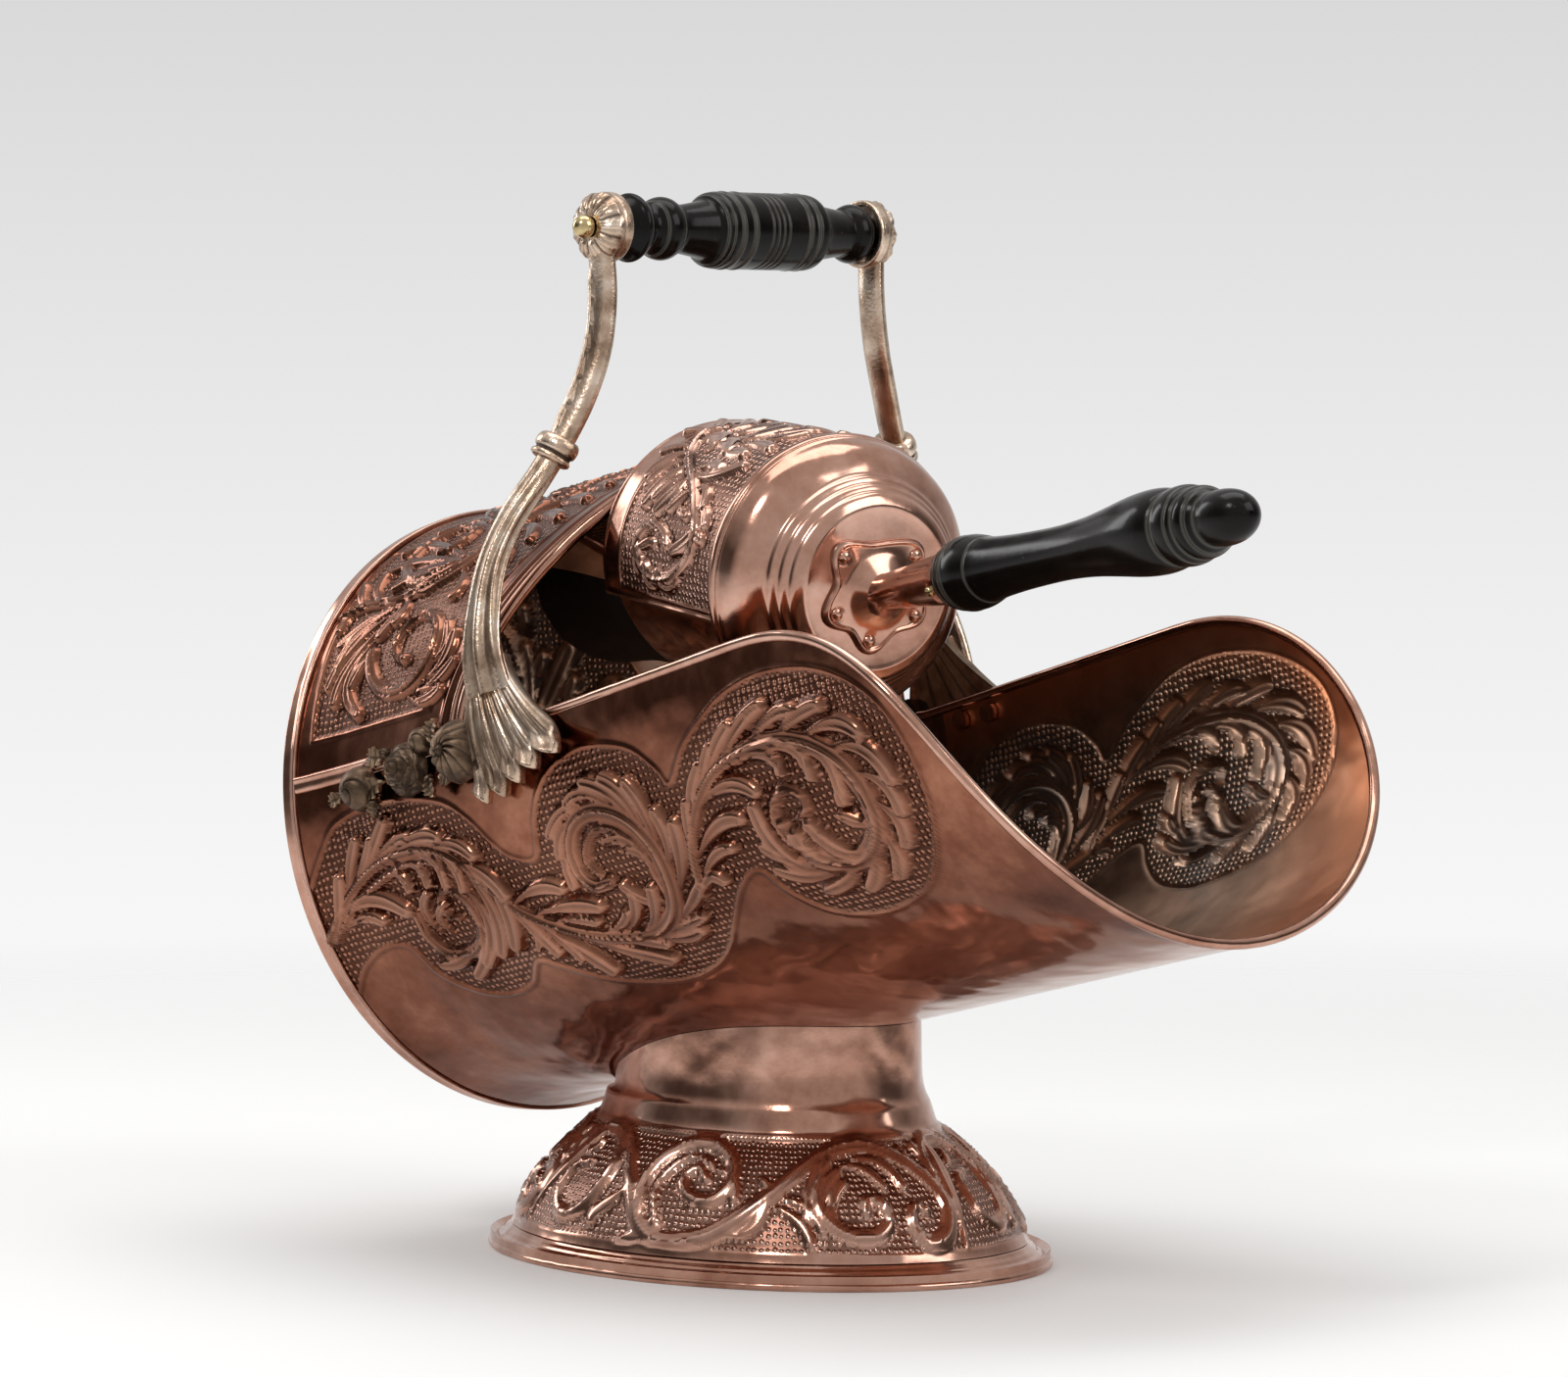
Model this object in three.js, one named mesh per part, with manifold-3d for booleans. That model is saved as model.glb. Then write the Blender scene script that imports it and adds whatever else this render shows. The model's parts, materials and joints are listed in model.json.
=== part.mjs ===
// Helmet coal scuttle in embossed copper, with a fixed carrying handle and a loose scoop.
// Millimetres. +X points to the pouring lip, +Y to the scuttle's left, +Z up. The origin is
// under the middle of the whole object, on the floor.
import * as THREE from "three";
import { mergeVertices } from "three/addons/utils/BufferGeometryUtils.js";
import Module from "manifold-3d";

const wasm = await Module();
wasm.setup();

const radians = THREE.MathUtils.degToRad;

// ---- Sizes shared by every piece ----
const sheet = 1.6; // copper sheet
const gap = 0.3; // clearance between two pieces that touch

// ---- Trough, hood and round back panel ----
const bodyRadius = 145; // outside of the trough
const bodyRise = radians(13); // the trough climbs towards its lip
const panelRadius = 150; // outside of the rolled rim
const panelTilt = radians(9.3); // the back panel leans to the rear
const panelReach = 171.5; // panel centre behind the foot's centre
const panelHeight = 204; // panel centre above the floor
const rimWidth = 9;
const rimDepth = 6.5; // how far the rolled rim reaches inwards
const flareLength = 45; // the sheet swells to meet the rim over this length
const domeHeight = 18; // crown of the back panel behind its rim
const domePower = 10; // a high power keeps the dome flat and turns it down near the rim
const bodyLength = 457; // from the panel to the lip, along the trough
const mouthStart = 320; // where the side edges begin to curve in to the lip
const mouthPower = 2.4; // roundness of the mouth's outline
const seamAngle = radians(96.5); // hood seam, measured round from the bottom line
const shoulderAngle = radians(95.2); // side edge just ahead of the hood, under the leaf
const edgeAngle = radians(98.2); // side edge where the mouth begins to curve in
const edgeBeadRadius = 2.3;
const hoodSideLength = 121; // hood's length along the seam
const hoodCrownLength = 213; // hood's length along its top line
const hoodDrop = 7; // how far the hood's top line dips towards its front
const hoodBeadRadius = 3;
const seamStripWidth = 8;
const seamStripThickness = 1.5;

// ---- Oval foot ----
const footLength = 306;
const footWidth = 229.4;
const neckLength = 172;
const neckWidth = 118;
const neckTop = 150; // before it is cut to the trough's underside
const rimStepHeight = 11; // height of the stepped base ring

// ---- Carrying handle ----
const gripHeight = 486; // grip's axis above the floor
const gripReach = 20.5; // grip's axis behind the foot's centre
const gripLength = 168;
const gripRadius = 18.3;
const rodRadius = 4;
const runningClearance = 0.15;
const socketRadius = 16.5;
const socketLip = 4.3; // the socket is a shallow cup: its lip stands this far over the grip
const socketDepth = 9.5;
const cupWall = 2.5;
const nutRadius = 5.7;
const armWidth = 13.5;
const armThickness = 10;
const leafThickness = 5;
const leafWidth = 50;
const rivetRadius = 2.5;
const rivetHeadRadius = 5;

// ---- Scoop ----
const scoopYaw = radians(-12.1); // the scoop lies askew, its handle to the right
const scoopPitch = radians(7.1); // its back hangs a little lower than its mouth
const scoopRadius = 64.4; // outside of hood and pan at the cap
const scoopMouthRadius = 66; // outside of the hood at its open edge
const scoopCrownDrop = 6; // the hood's crown is this much lower at its mouth
const scoopHoodLength = 97;
const scoopPanLength = 88;
const scoopBeadRadius = 66.3;
const capDepth = 36.4;
const scoopSideAngle = radians(71); // where hood and pan meet, round from the bottom line
const bladeLength = 172;
const bladeFlare = 9; // how far the blade's lip turns out
const bossRadius = 30;
const handleRise = radians(15.1); // handle's angle above the scoop's axis
const ferruleLength = 57;
const ferruleRootRadius = 8.2;
const ferruleEndRadius = 12.2;
const handleLength = 229;
const handleRadius = 18.4;
const tangRadius = 3.5;
const seatAngle = radians(217.9); // where the scoop's mouth meets the hood's front bead
const scoopSeatAngle = radians(256); // the same place, seen round the scoop's own mouth

// ---- Materials ----
const copper = { color: 0x9c5f4a, roughness: 0.28, metalness: 1 };
const castBronze = { color: 0xb9a28f, roughness: 0.36, metalness: 1 };
const brass = { color: 0xb49a5a, roughness: 0.3, metalness: 1 };
const iron = { color: 0x1e1e1c, roughness: 0.7, metalness: 0.6 };
const ebonisedWood = { color: 0x14110f, roughness: 0.25, metalness: 0 };

const vector = (x, y, z) => new THREE.Vector3(x, y, z);
const scuttle = new THREE.Group();

function addPiece(name, finish, geometry, parent = scuttle) {
  const mesh = new THREE.Mesh(geometry, new THREE.MeshStandardMaterial(finish));
  mesh.name = name;
  parent.add(mesh);
  return mesh;
}

// ---- Geometry helpers ----
function fromTriangles(points) {
  let volume = 0;
  for (let i = 0; i < points.length; i += 3) {
    volume += points[i].dot(vector(0, 0, 0).crossVectors(points[i + 1], points[i + 2]));
  }
  const flat = [];
  for (let i = 0; i < points.length; i += 3) {
    const order = volume > 0 ? [0, 1, 2] : [0, 2, 1];
    order.forEach((k) => flat.push(...points[i + k].toArray()));
  }
  const geometry = new THREE.BufferGeometry();
  geometry.setAttribute("position", new THREE.Float32BufferAttribute(flat, 3));
  geometry.computeVertexNormals();
  return geometry;
}

// A geometry's corners, three to a triangle, without the ones that have no area.
function trianglesOf(geometry) {
  const bare = geometry.toNonIndexed().attributes.position;
  const all = [];
  for (let i = 0; i < bare.count; i += 3) {
    const corner = [0, 1, 2].map((k) => new THREE.Vector3().fromBufferAttribute(bare, i + k));
    const area = corner[1].clone().sub(corner[0]).cross(corner[2].clone().sub(corner[0]));
    if (area.length() > 1e-6) all.push(...corner);
  }
  return all;
}

// A sheet with thickness: rows of matching outside and inside points, closed at each free edge.
function sheetSolid(rows, wraps = false) {
  const points = [];
  const quad = (a, b, c, d) => points.push(a, b, c, a, c, d);
  const count = rows[0].outside.length;
  const columns = wraps ? count : count - 1;
  const last = rows.length - 1;
  for (let j = 0; j < last; j++) {
    const [low, high] = [rows[j], rows[j + 1]];
    for (let i = 0; i < columns; i++) {
      const k = (i + 1) % count;
      quad(low.outside[i], low.outside[k], high.outside[k], high.outside[i]);
      quad(low.inside[i], high.inside[i], high.inside[k], low.inside[k]);
    }
    if (!wraps) {
      quad(low.outside[0], high.outside[0], high.inside[0], low.inside[0]);
      const n = columns;
      quad(high.outside[n], low.outside[n], low.inside[n], high.inside[n]);
    }
  }
  for (let i = 0; i < columns; i++) {
    const k = (i + 1) % count;
    const [first, end] = [rows[0], rows[last]];
    quad(first.outside[k], first.outside[i], first.inside[i], first.inside[k]);
    quad(end.outside[i], end.outside[k], end.inside[k], end.inside[i]);
  }
  return fromTriangles(points);
}

// A solid lofted through closed rings of equal count, with flat ends.
function loftSolid(rings) {
  const points = [];
  const count = rings[0].length;
  const centre = (ring) =>
    ring.reduce((sum, p) => sum.add(p), vector(0, 0, 0)).divideScalar(ring.length);
  for (let j = 0; j < rings.length - 1; j++) {
    for (let i = 0; i < count; i++) {
      const k = (i + 1) % count;
      const [a, b, c, d] = [rings[j][i], rings[j][k], rings[j + 1][k], rings[j + 1][i]];
      points.push(a, b, c, a, c, d);
    }
  }
  const [first, last] = [rings[0], rings[rings.length - 1]];
  const [start, end] = [centre(first), centre(last)];
  for (let i = 0; i < count; i++) {
    const k = (i + 1) % count;
    points.push(start, first[k], first[i], end, last[i], last[k]);
  }
  return fromTriangles(points);
}

// A round bar along a curve.
function barAlong(curve, radius, sides, steps) {
  const section = new THREE.Shape();
  section.absarc(0, 0, radius, 0, 2 * Math.PI);
  const options = {
    steps,
    curveSegments: sides / 2, // an arc is drawn with twice this many sides
    bevelEnabled: false,
    extrudePath: curve,
  };
  return new THREE.ExtrudeGeometry(section, options);
}

// A turned solid about +X: profile points are [place along the axis, radius].
function turned(profile, segments) {
  const points = profile.map(([along, radius]) => new THREE.Vector2(radius, along));
  const lathed = new THREE.LatheGeometry(points, segments).rotateZ(-Math.PI / 2);
  return fromTriangles(trianglesOf(lathed));
}

function toManifold(geometry) {
  const bare = geometry.index ? geometry.toNonIndexed() : geometry.clone();
  bare.deleteAttribute("normal");
  bare.deleteAttribute("uv");
  const merged = mergeVertices(bare, 1e-3);
  return new wasm.Manifold(
    new wasm.Mesh({
      numProp: 3,
      vertProperties: merged.attributes.position.array,
      triVerts: new Uint32Array(merged.index.array),
    }),
  );
}

function toGeometry(solid) {
  const mesh = solid.getMesh();
  const geometry = new THREE.BufferGeometry();
  const positions = new THREE.BufferAttribute(mesh.vertProperties, 3);
  geometry.setAttribute("position", positions);
  geometry.setIndex(new THREE.BufferAttribute(mesh.triVerts, 1));
  return geometry;
}

const joined = (...parts) => toGeometry(parts.map(toManifold).reduce((a, b) => a.add(b)));
const cut = (geometry, ...tools) =>
  toGeometry(tools.map(toManifold).reduce((a, b) => a.subtract(b), toManifold(geometry)));

const steps = (count, low = 0, high = 1) =>
  Array.from({ length: count + 1 }, (_, i) => low + ((high - low) * i) / count);

// ---- The trough's own coordinates ----
// A place on it is: along (from the panel towards the lip), round (angle from the bottom line,
// positive to the left) and radius.
const panelCentre = vector(-panelReach, 0, panelHeight);
const bodyAxis = vector(Math.cos(bodyRise), 0, Math.sin(bodyRise));
const bodyUp = vector(-Math.sin(bodyRise), 0, Math.cos(bodyRise));

function onBody(along, round, radius) {
  return panelCentre
    .clone()
    .addScaledVector(bodyAxis, along)
    .addScaledVector(bodyUp, -radius * Math.cos(round))
    .add(vector(0, radius * Math.sin(round), 0));
}

// The sheet swells gently to the rim at the panel's end.
function bodyRadiusAt(along) {
  const swell = Math.max(0, 1 - along / flareLength);
  return bodyRadius + (panelRadius - bodyRadius - sheet) * swell ** 2;
}

// The panel's plane is not square to the trough, so its distance changes round the section.
const panelSkew = Math.tan(bodyRise - panelTilt);
const panelAlong = (round) => -bodyRadius * Math.cos(round) * panelSkew;
const sheetStart = gap + 1; // the sheets begin just ahead of the rolled rim

// Half the angle that the trough's sheet covers at a distance along it.
const shoulderEnd = hoodSideLength + 18;
function edgeRoundAt(along) {
  if (along <= hoodSideLength) return seamAngle;
  if (along <= shoulderEnd) {
    const drop = (along - hoodSideLength) / (shoulderEnd - hoodSideLength);
    return seamAngle + (shoulderAngle - seamAngle) * drop;
  }
  if (along <= mouthStart) {
    const rise = (along - shoulderEnd) / (mouthStart - shoulderEnd);
    return shoulderAngle + (edgeAngle - shoulderAngle) * rise;
  }
  const share = (along - mouthStart) / (bodyLength - mouthStart);
  return edgeAngle * (1 - share ** mouthPower) ** (1 / mouthPower);
}

const mouthShares = [0, 0.3, 0.52, 0.7, 0.82, 0.91, 0.96, 0.987, 0.998];
const mouthStations = mouthShares.map((share) => mouthStart + share * (bodyLength - mouthStart));
const bodyStations = [
  0,
  0.45 * flareLength,
  flareLength,
  hoodSideLength,
  shoulderEnd,
  ...mouthStations,
];

function bodyShell(columns = 28) {
  const rows = bodyStations.map((station) => {
    const half = edgeRoundAt(station);
    const place = (share, depth) => {
      const round = half * share;
      const back = (sheetStart + panelAlong(round)) * (1 - station / bodyLength);
      const along = station + back;
      return onBody(along, round, bodyRadiusAt(station) - depth);
    };
    const shares = steps(columns, -1, 1);
    return {
      outside: shares.map((share) => place(share, 0)),
      inside: shares.map((share) => place(share, sheet)),
    };
  });
  return sheetSolid(rows);
}

// A curve beside a sheet's edge: the edge's outline gives [along, round] at a share of its
// length, and the curve lies off it by an offset within the sheet's own surface.
class BesideEdge extends THREE.Curve {
  constructor(offset) {
    super();
    this.offset = offset;
  }
  radius() {
    return bodyRadius - sheet / 2;
  }
  getPoint(t) {
    const step = 0.004;
    const [along, round] = this.outline(t);
    const [a0, r0] = this.outline(Math.max(0, t - step));
    const [a1, r1] = this.outline(Math.min(1, t + step));
    const middle = this.radius(along, round);
    const run = [a1 - a0, (r1 - r0) * middle];
    const length = Math.hypot(...run);
    const outAlong = (run[1] / length) * this.offset;
    const outRound = (-run[0] / length / middle) * this.offset;
    return onBody(along + outAlong, round + outRound, middle);
  }
}

// The mouth's edge, from the hood on the right, round the lip, to the hood on the left.
class MouthEdge extends BesideEdge {
  constructor(startAlong, offset) {
    super(offset);
    this.startAlong = startAlong;
  }
  outline(t) {
    const side = t < 0.5 ? -1 : 1;
    const share = 1 - Math.abs(2 * t - 1); // 0 at the hood, 1 at the lip
    const straight = 0.4; // part of the run spent on the straight side edge
    if (share < straight) {
      const along = this.startAlong + (mouthStart - this.startAlong) * (share / straight);
      return [along, side * edgeRoundAt(along)];
    }
    const turn = ((share - straight) / (1 - straight)) * (Math.PI / 2);
    const along = Math.sin(turn) ** (2 / mouthPower) * (bodyLength - mouthStart) + mouthStart;
    return [along, side * edgeAngle * Math.cos(turn) ** (2 / mouthPower)];
  }
}

const edgeBeadOffset = edgeBeadRadius + 2 * gap;
const edgeBeadStart = hoodSideLength + 2 * hoodBeadRadius + 4;

// ---- Hood ----
const hoodShare = (round) => (round - seamAngle) / (Math.PI - seamAngle); // 0 at the seam, 1 on top
const hoodFrontAt = (round) => {
  const share = Math.min(1, Math.max(0, hoodShare(round)));
  const advance = Math.sin((Math.PI / 2) * share ** 0.85) ** 2;
  return hoodSideLength + (hoodCrownLength - hoodSideLength) * advance;
};
const hoodRadiusAt = (along, round) =>
  bodyRadiusAt(along) - hoodDrop * hoodShare(round) * (along / hoodCrownLength);
const mirrorRound = (round) => (round <= Math.PI ? round : 2 * Math.PI - round);

function hood(columns = 24, rowCount = 5) {
  const seamGap = gap / bodyRadius;
  const rounds = steps(columns, seamAngle + seamGap, 2 * Math.PI - seamAngle - seamGap);
  const place = (share, round, depth) => {
    const folded = mirrorRound(round);
    const back = sheetStart + panelAlong(round);
    const along = back + (hoodFrontAt(folded) - back) * share;
    return onBody(along, round, hoodRadiusAt(along, folded) - depth);
  };
  const rows = steps(rowCount).map((t) => {
    const share = t ** 1.4; // closer rows where the sheet swells to the rim
    return {
      outside: rounds.map((round) => place(share, round, 0)),
      inside: rounds.map((round) => place(share, round, sheet)),
    };
  });
  return sheetSolid(rows);
}

// The hood's front edge, over the top from the left seam to the right one.
class HoodEdge extends BesideEdge {
  radius(along, round) {
    return hoodRadiusAt(along, mirrorRound(round)) - sheet / 2;
  }
  outline(t) {
    const round = this.start + 2 * (Math.PI - this.start) * t;
    return [hoodFrontAt(mirrorRound(round)), round];
  }
  shareAt(round) {
    return (round - this.start) / (2 * (Math.PI - this.start));
  }
}
HoodEdge.prototype.start = seamAngle + (edgeBeadRadius + hoodBeadRadius) / bodyRadius;
const hoodEdge = new HoodEdge(hoodBeadRadius + 2 * gap);

// A lapped strip that covers the seam between hood and trough.
const seamLift = 2 * gap;
function seamStrip(side) {
  const half = seamStripWidth / 2 / bodyRadius;
  const rounds = steps(2, seamAngle - half, seamAngle + half);
  const rows = [sheetStart + 1, 0.5 * flareLength, flareLength, hoodSideLength - 2].map((along) => ({
    outside: rounds.map((round) =>
      onBody(along, side * round, bodyRadiusAt(along) + seamLift + seamStripThickness),
    ),
    inside: rounds.map((round) => onBody(along, side * round, bodyRadiusAt(along) + seamLift)),
  }));
  return sheetSolid(rows);
}

// ---- Back panel and its rolled rim, built about +X and then leant back ----
function placedOnPanel(geometry) {
  return geometry.rotateY(-panelTilt).translate(...panelCentre.toArray());
}

function backRim() {
  const inner = panelRadius - rimDepth;
  const back = -rimWidth;
  const profile = [
    [0, inner + 1.5],
    [1, panelRadius - 2],
    [0, panelRadius],
    [back + 2, panelRadius],
    [back, panelRadius - 2],
    [back, inner + 1.5],
    [0, inner + 1.5],
  ];
  return placedOnPanel(turned(profile, 40));
}

function backPanel() {
  const edge = panelRadius - rimDepth / 2; // lapped behind the rim
  const seat = -rimWidth - gap;
  const shares = [0, 0.5, 0.74, 0.87, 0.95, 1];
  const crown = (share) => seat - domeHeight * (1 - share ** domePower);
  const behind = shares.map((share) => [crown(share) - sheet, edge * share]);
  const ahead = shares.map((share) => [crown(share), (share < 1 ? edge - sheet : edge) * share]);
  return placedOnPanel(turned([...behind, ...ahead.reverse()], 32));
}

// ---- Foot ----
// Each level is [height, share]: share 0 is the base's outline and 1 is the neck's.
const skirtLevels = [
  [rimStepHeight + gap, 0.17],
  [22, 0.257],
  [36, 0.4],
  [51, 0.622],
  [62, 0.83],
  [72, 0.91],
  [94, 0.985],
  [neckTop, 1],
];
const baseLevels = [
  [0, 0.01],
  [1.5, 0],
  [4.5, 0.004],
  [6.5, 0.06],
  [8, 0.085],
  [rimStepHeight, 0.12],
];

function ovalRow([height, share], inset, segments = 32) {
  const halfLength = (footLength + (neckLength - footLength) * share) / 2 - inset;
  const halfWidth = (footWidth + (neckWidth - footWidth) * share) / 2 - inset;
  return steps(segments, 0, 2 * Math.PI)
    .slice(0, segments)
    .map((t) => vector(halfLength * Math.cos(t), halfWidth * Math.sin(t), height));
}

function footPiece(levels, wall) {
  const rows = levels.map((level) => ({
    outside: ovalRow(level, 0),
    inside: ovalRow(level, wall),
  }));
  return sheetSolid(rows, true);
}

// A plain round bar on the trough's axis, used to cut what stands against it.
function bodyEnvelope(clearance) {
  const radius = bodyRadius + clearance;
  const length = bodyLength + panelReach;
  const bar = new THREE.CylinderGeometry(radius, radius, length, 96);
  bar.rotateZ(-Math.PI / 2).rotateY(-bodyRise);
  const middle = panelCentre.clone().addScaledVector(bodyAxis, length / 2 - panelReach / 2);
  return bar.translate(...middle.toArray());
}

// ---- Carrying handle ----
const gripCentre = vector(-gripReach, 0, gripHeight);
const socketInner = gripLength / 2 + gap;
const socketOuter = socketInner + socketDepth;

// The arm's route on the left, from inside the socket down to the leaf on the trough's side.
const armFoot = 3.4; // arm's leaf stands this far off the trough, over the beads
const armFootHeight = 269;
// Each point is [place along X, share of the way out from the cup to the trough's side, share of
// the height from the leaf up to the grip's axis].
const armShares = [
  [-20, 0.043, 0.972],
  [-18.5, 0.026, 0.862],
  [-18.3, 0.072, 0.751],
  [-20, 0.181, 0.654],
  [-24, 0.33, 0.562],
  [-29, 0.519, 0.47],
  [-34.5, 0.726, 0.378],
  [-37, 0.885, 0.286],
  [-36, 0.992, 0.189],
  [-32, 1.069, 0.092],
  [-27, 1.064, 0],
];
const armRoute = armShares.map(([x, out, up]) =>
  vector(
    x,
    socketInner + out * (bodyRadius - socketInner),
    armFootHeight + up * (gripHeight - armFootHeight),
  ),
);
const armCurve = new THREE.CatmullRomCurve3(armRoute, false, "centripetal");
const mirrored = (p, side) => vector(p.x, p.y * side, p.z);

// An oval ring square to the arm, wide along the trough and thinner sideways.
function armRing(t, growth, side, count = 10) {
  const centre = armCurve.getPointAt(t);
  const tangent = armCurve.getTangentAt(t);
  const across = vector(0, 1, 0).cross(tangent).normalize();
  const outwards = tangent.clone().cross(across).normalize();
  const widen = 1 + 0.6 * Math.max(0, (t - 0.6) / 0.4) ** 2;
  const a = (armWidth / 2) * widen + growth;
  const b = armThickness / 2 + growth;
  const ring = steps(count, 0, 2 * Math.PI)
    .slice(0, count)
    .map((angle) =>
      centre
        .clone()
        .addScaledVector(across, a * Math.cos(angle))
        .addScaledVector(outwards, b * Math.sin(angle)),
    );
  return ring.map((p) => mirrored(p, side));
}

// The acanthus leaf: a thin fan that spreads down the trough's side from the end of the arm.
const leafTop = radians(109);
const leafBottom = radians(89);
const leafAlongTop = 153; // leaf's centre line along the trough, at its top
const leafAlongBottom = 175; // and at its toes
const leafTopWidth = 20;

function leafPad(side) {
  const rows = steps(6).map((t) => {
    const round = leafTop + (leafBottom - leafTop) * t;
    const half = (leafTopWidth + (leafWidth - leafTopWidth) * t ** 1.2) / 2;
    const middle = leafAlongTop + (leafAlongBottom - leafAlongTop) * t ** 1.3;
    const crown = (u) => leafThickness * (1 - 0.55 * u * u) + 2 * (1 - t);
    const bulge = (u) => bodyRadius + armFoot + crown(u);
    const across = steps(4, -1, 1);
    return {
      outside: across.map((u) => onBody(middle + half * u, side * round, bulge(u))),
      inside: across.map((u) => onBody(middle + half * u, side * round, bodyRadius + armFoot)),
    };
  });
  return sheetSolid(rows);
}

// The socket is a shallow cup, open to the grip, with a rosette's dome outside.
function socket(side) {
  const bore = rodRadius + gap;
  const profile = [
    [socketInner - socketLip, socketRadius - 0.6],
    [socketInner + 2, socketRadius],
    [socketOuter - 5, socketRadius - 1.5],
    [socketOuter - 1, socketRadius - 6],
    [socketOuter, nutRadius + 1],
    [socketOuter, bore],
    [socketInner, bore],
    [socketInner, socketRadius - cupWall],
    [socketInner - socketLip, socketRadius - cupWall],
    [socketInner - socketLip, socketRadius - 0.6],
  ];
  const cup = turned(profile, 16);
  return cup.rotateZ(side * (Math.PI / 2)).translate(...gripCentre.toArray());
}

const rivetPlaces = [
  [leafAlongBottom - 10, radians(93)],
  [leafAlongBottom + 10, radians(93)],
];

// A bar that points out of the trough's side, for rivets and their holes.
function radialBar(along, round, radius, inner, outer, sides = 10) {
  const [start, end] = [onBody(along, round, inner), onBody(along, round, outer)];
  const bar = new THREE.CylinderGeometry(radius, radius, outer - inner, sides);
  const direction = end.clone().sub(start).normalize();
  bar.applyQuaternion(new THREE.Quaternion().setFromUnitVectors(vector(0, 1, 0), direction));
  return bar.translate(...start.add(end).divideScalar(2).toArray());
}

const rivetHoles = (side, inner, outer) =>
  rivetPlaces.map(([along, round]) =>
    radialBar(along, side * round, rivetRadius + gap, inner, outer),
  );

const rivetTip = bodyRadius + armFoot + 0.5 * leafThickness;

function bracket(side) {
  const rings = steps(12).map((t) => armRing(t, 0, side, 8));
  const rodBore = turned([[-200, 0], [-200, rodRadius + gap], [200, rodRadius + gap], [200, 0]], 20);
  rodBore.rotateZ(Math.PI / 2).translate(...gripCentre.toArray());
  const cupSpace = turned(
    [
      [-socketInner, 0],
      [-socketInner, socketRadius - cupWall],
      [socketInner, socketRadius - cupWall],
      [socketInner, 0],
    ],
    20,
  );
  cupSpace.rotateZ(Math.PI / 2).translate(...gripCentre.toArray());
  const casting = joined(loftSolid(rings), leafPad(side), socket(side));
  const bottoms = rivetHoles(side, bodyRadius, rivetTip + gap);
  return cut(casting, bodyEnvelope(armFoot - 0.1), rodBore, cupSpace, ...bottoms);
}

function bracketRivet(side, [along, round]) {
  const seat = bodyRadius - sheet - 2 * gap;
  const shank = radialBar(along, side * round, rivetRadius, seat - 1, rivetTip);
  const head = radialBar(along, side * round, rivetHeadRadius, seat - 2.5, seat, 12);
  return joined(shank, head);
}

const collarPlace = 0.455; // along the arm
function armCollar(side) {
  const rows = [-0.026, -0.012, 0, 0.012, 0.026].map((shift, i) => ({
    outside: armRing(collarPlace + shift, [3, 4.2, 3.4, 4.2, 3][i], side, 14),
    inside: armRing(collarPlace + shift, gap + 0.1, side, 14),
  }));
  return sheetSolid(rows, true);
}

// Roses and a bud strung along the seam behind the leaf: [along, round in degrees, radius].
const roses = [
  [126, 94, 14],
  [86, 93.6, 12],
  [50, 92.6, 10.5],
  [99, 97.6, 7.5],
];

function roseSpray(side) {
  const standOff = 4;
  const blooms = roses.map(([along, degrees, radius]) => {
    const bloom = new THREE.SphereGeometry(radius, 10, 6);
    const centre = onBody(along, side * radians(degrees), bodyRadius + standOff);
    return bloom.translate(...centre.toArray());
  });
  const stem = new THREE.LineCurve3(
    onBody(roses[2][0], side * radians(93), bodyRadius + standOff),
    onBody(roses[0][0] + 8, side * radians(94), bodyRadius + standOff),
  );
  const spray = joined(...blooms, barAlong(stem, 5, 8, 1));
  const overStrip = seamStripThickness + 2 * gap + 0.4;
  return cut(spray, bodyEnvelope(overStrip), leafSpace(side));
}

// The room that the leaf takes, with the clearance round it.
function leafSpace(side) {
  const wide = leafWidth / 2 + 1.2;
  const rows = steps(6).map((t) => {
    const round = leafTop + (leafBottom - leafTop) * t - radians(1.5) * t;
    const half = (leafTopWidth + (leafWidth - leafTopWidth) * t ** 1.2) / 2 + (wide - leafWidth / 2);
    const middle = leafAlongTop + (leafAlongBottom - leafAlongTop) * t ** 1.3;
    const ends = [middle - half, middle + half];
    return {
      outside: ends.map((along) => onBody(along, side * round, bodyRadius + 40)),
      inside: ends.map((along) => onBody(along, side * round, bodyRadius - 5)),
    };
  });
  return sheetSolid(rows);
}

// ---- Grip, turned about its rod ----
// It has a flange and a ball at its right end, a plain ball at its left, and a barrel between
// them that sits a little left of the middle.
function grip() {
  const bore = rodRadius + runningClearance;
  const end = gripLength / 2;
  const spigot = 8.5; // radius of the ends, inside the cups
  const profile = [
    [end, bore],
    [end, spigot],
    [end - 3.5, spigot],
    [end - 4.5, 11.5],
    [end - 8.5, 14.4],
    [end - 12, 14.2],
    [end - 16, 11.4],
    [end - 17.5, 11],
    [end - 36, 13.8],
    [end - 38, gripRadius - 1.7],
    [end - 43, gripRadius],
    [68 - end, gripRadius],
    [63 - end, gripRadius - 1.7],
    [61 - end, 13.8],
    [44 - end, 11],
    [41.5 - end, 12],
    [37 - end, 14.4],
    [31 - end, 14.2],
    [26 - end, 10.6],
    [22.5 - end, 10.3],
    [18.5 - end, 13.5],
    [15.5 - end, 16.1],
    [13 - end, 15.9],
    [7.5 - end, 11],
    [4.5 - end, spigot],
    [-end, spigot],
    [-end, bore],
    [end, bore],
  ];
  const turning = turned(profile, 16).rotateZ(Math.PI / 2);
  return turning.translate(...gripCentre.toArray());
}

function gripRod() {
  const half = socketOuter + 2;
  const rod = new THREE.CylinderGeometry(rodRadius, rodRadius, 2 * half, 16);
  return rod.translate(...gripCentre.toArray());
}

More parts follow.
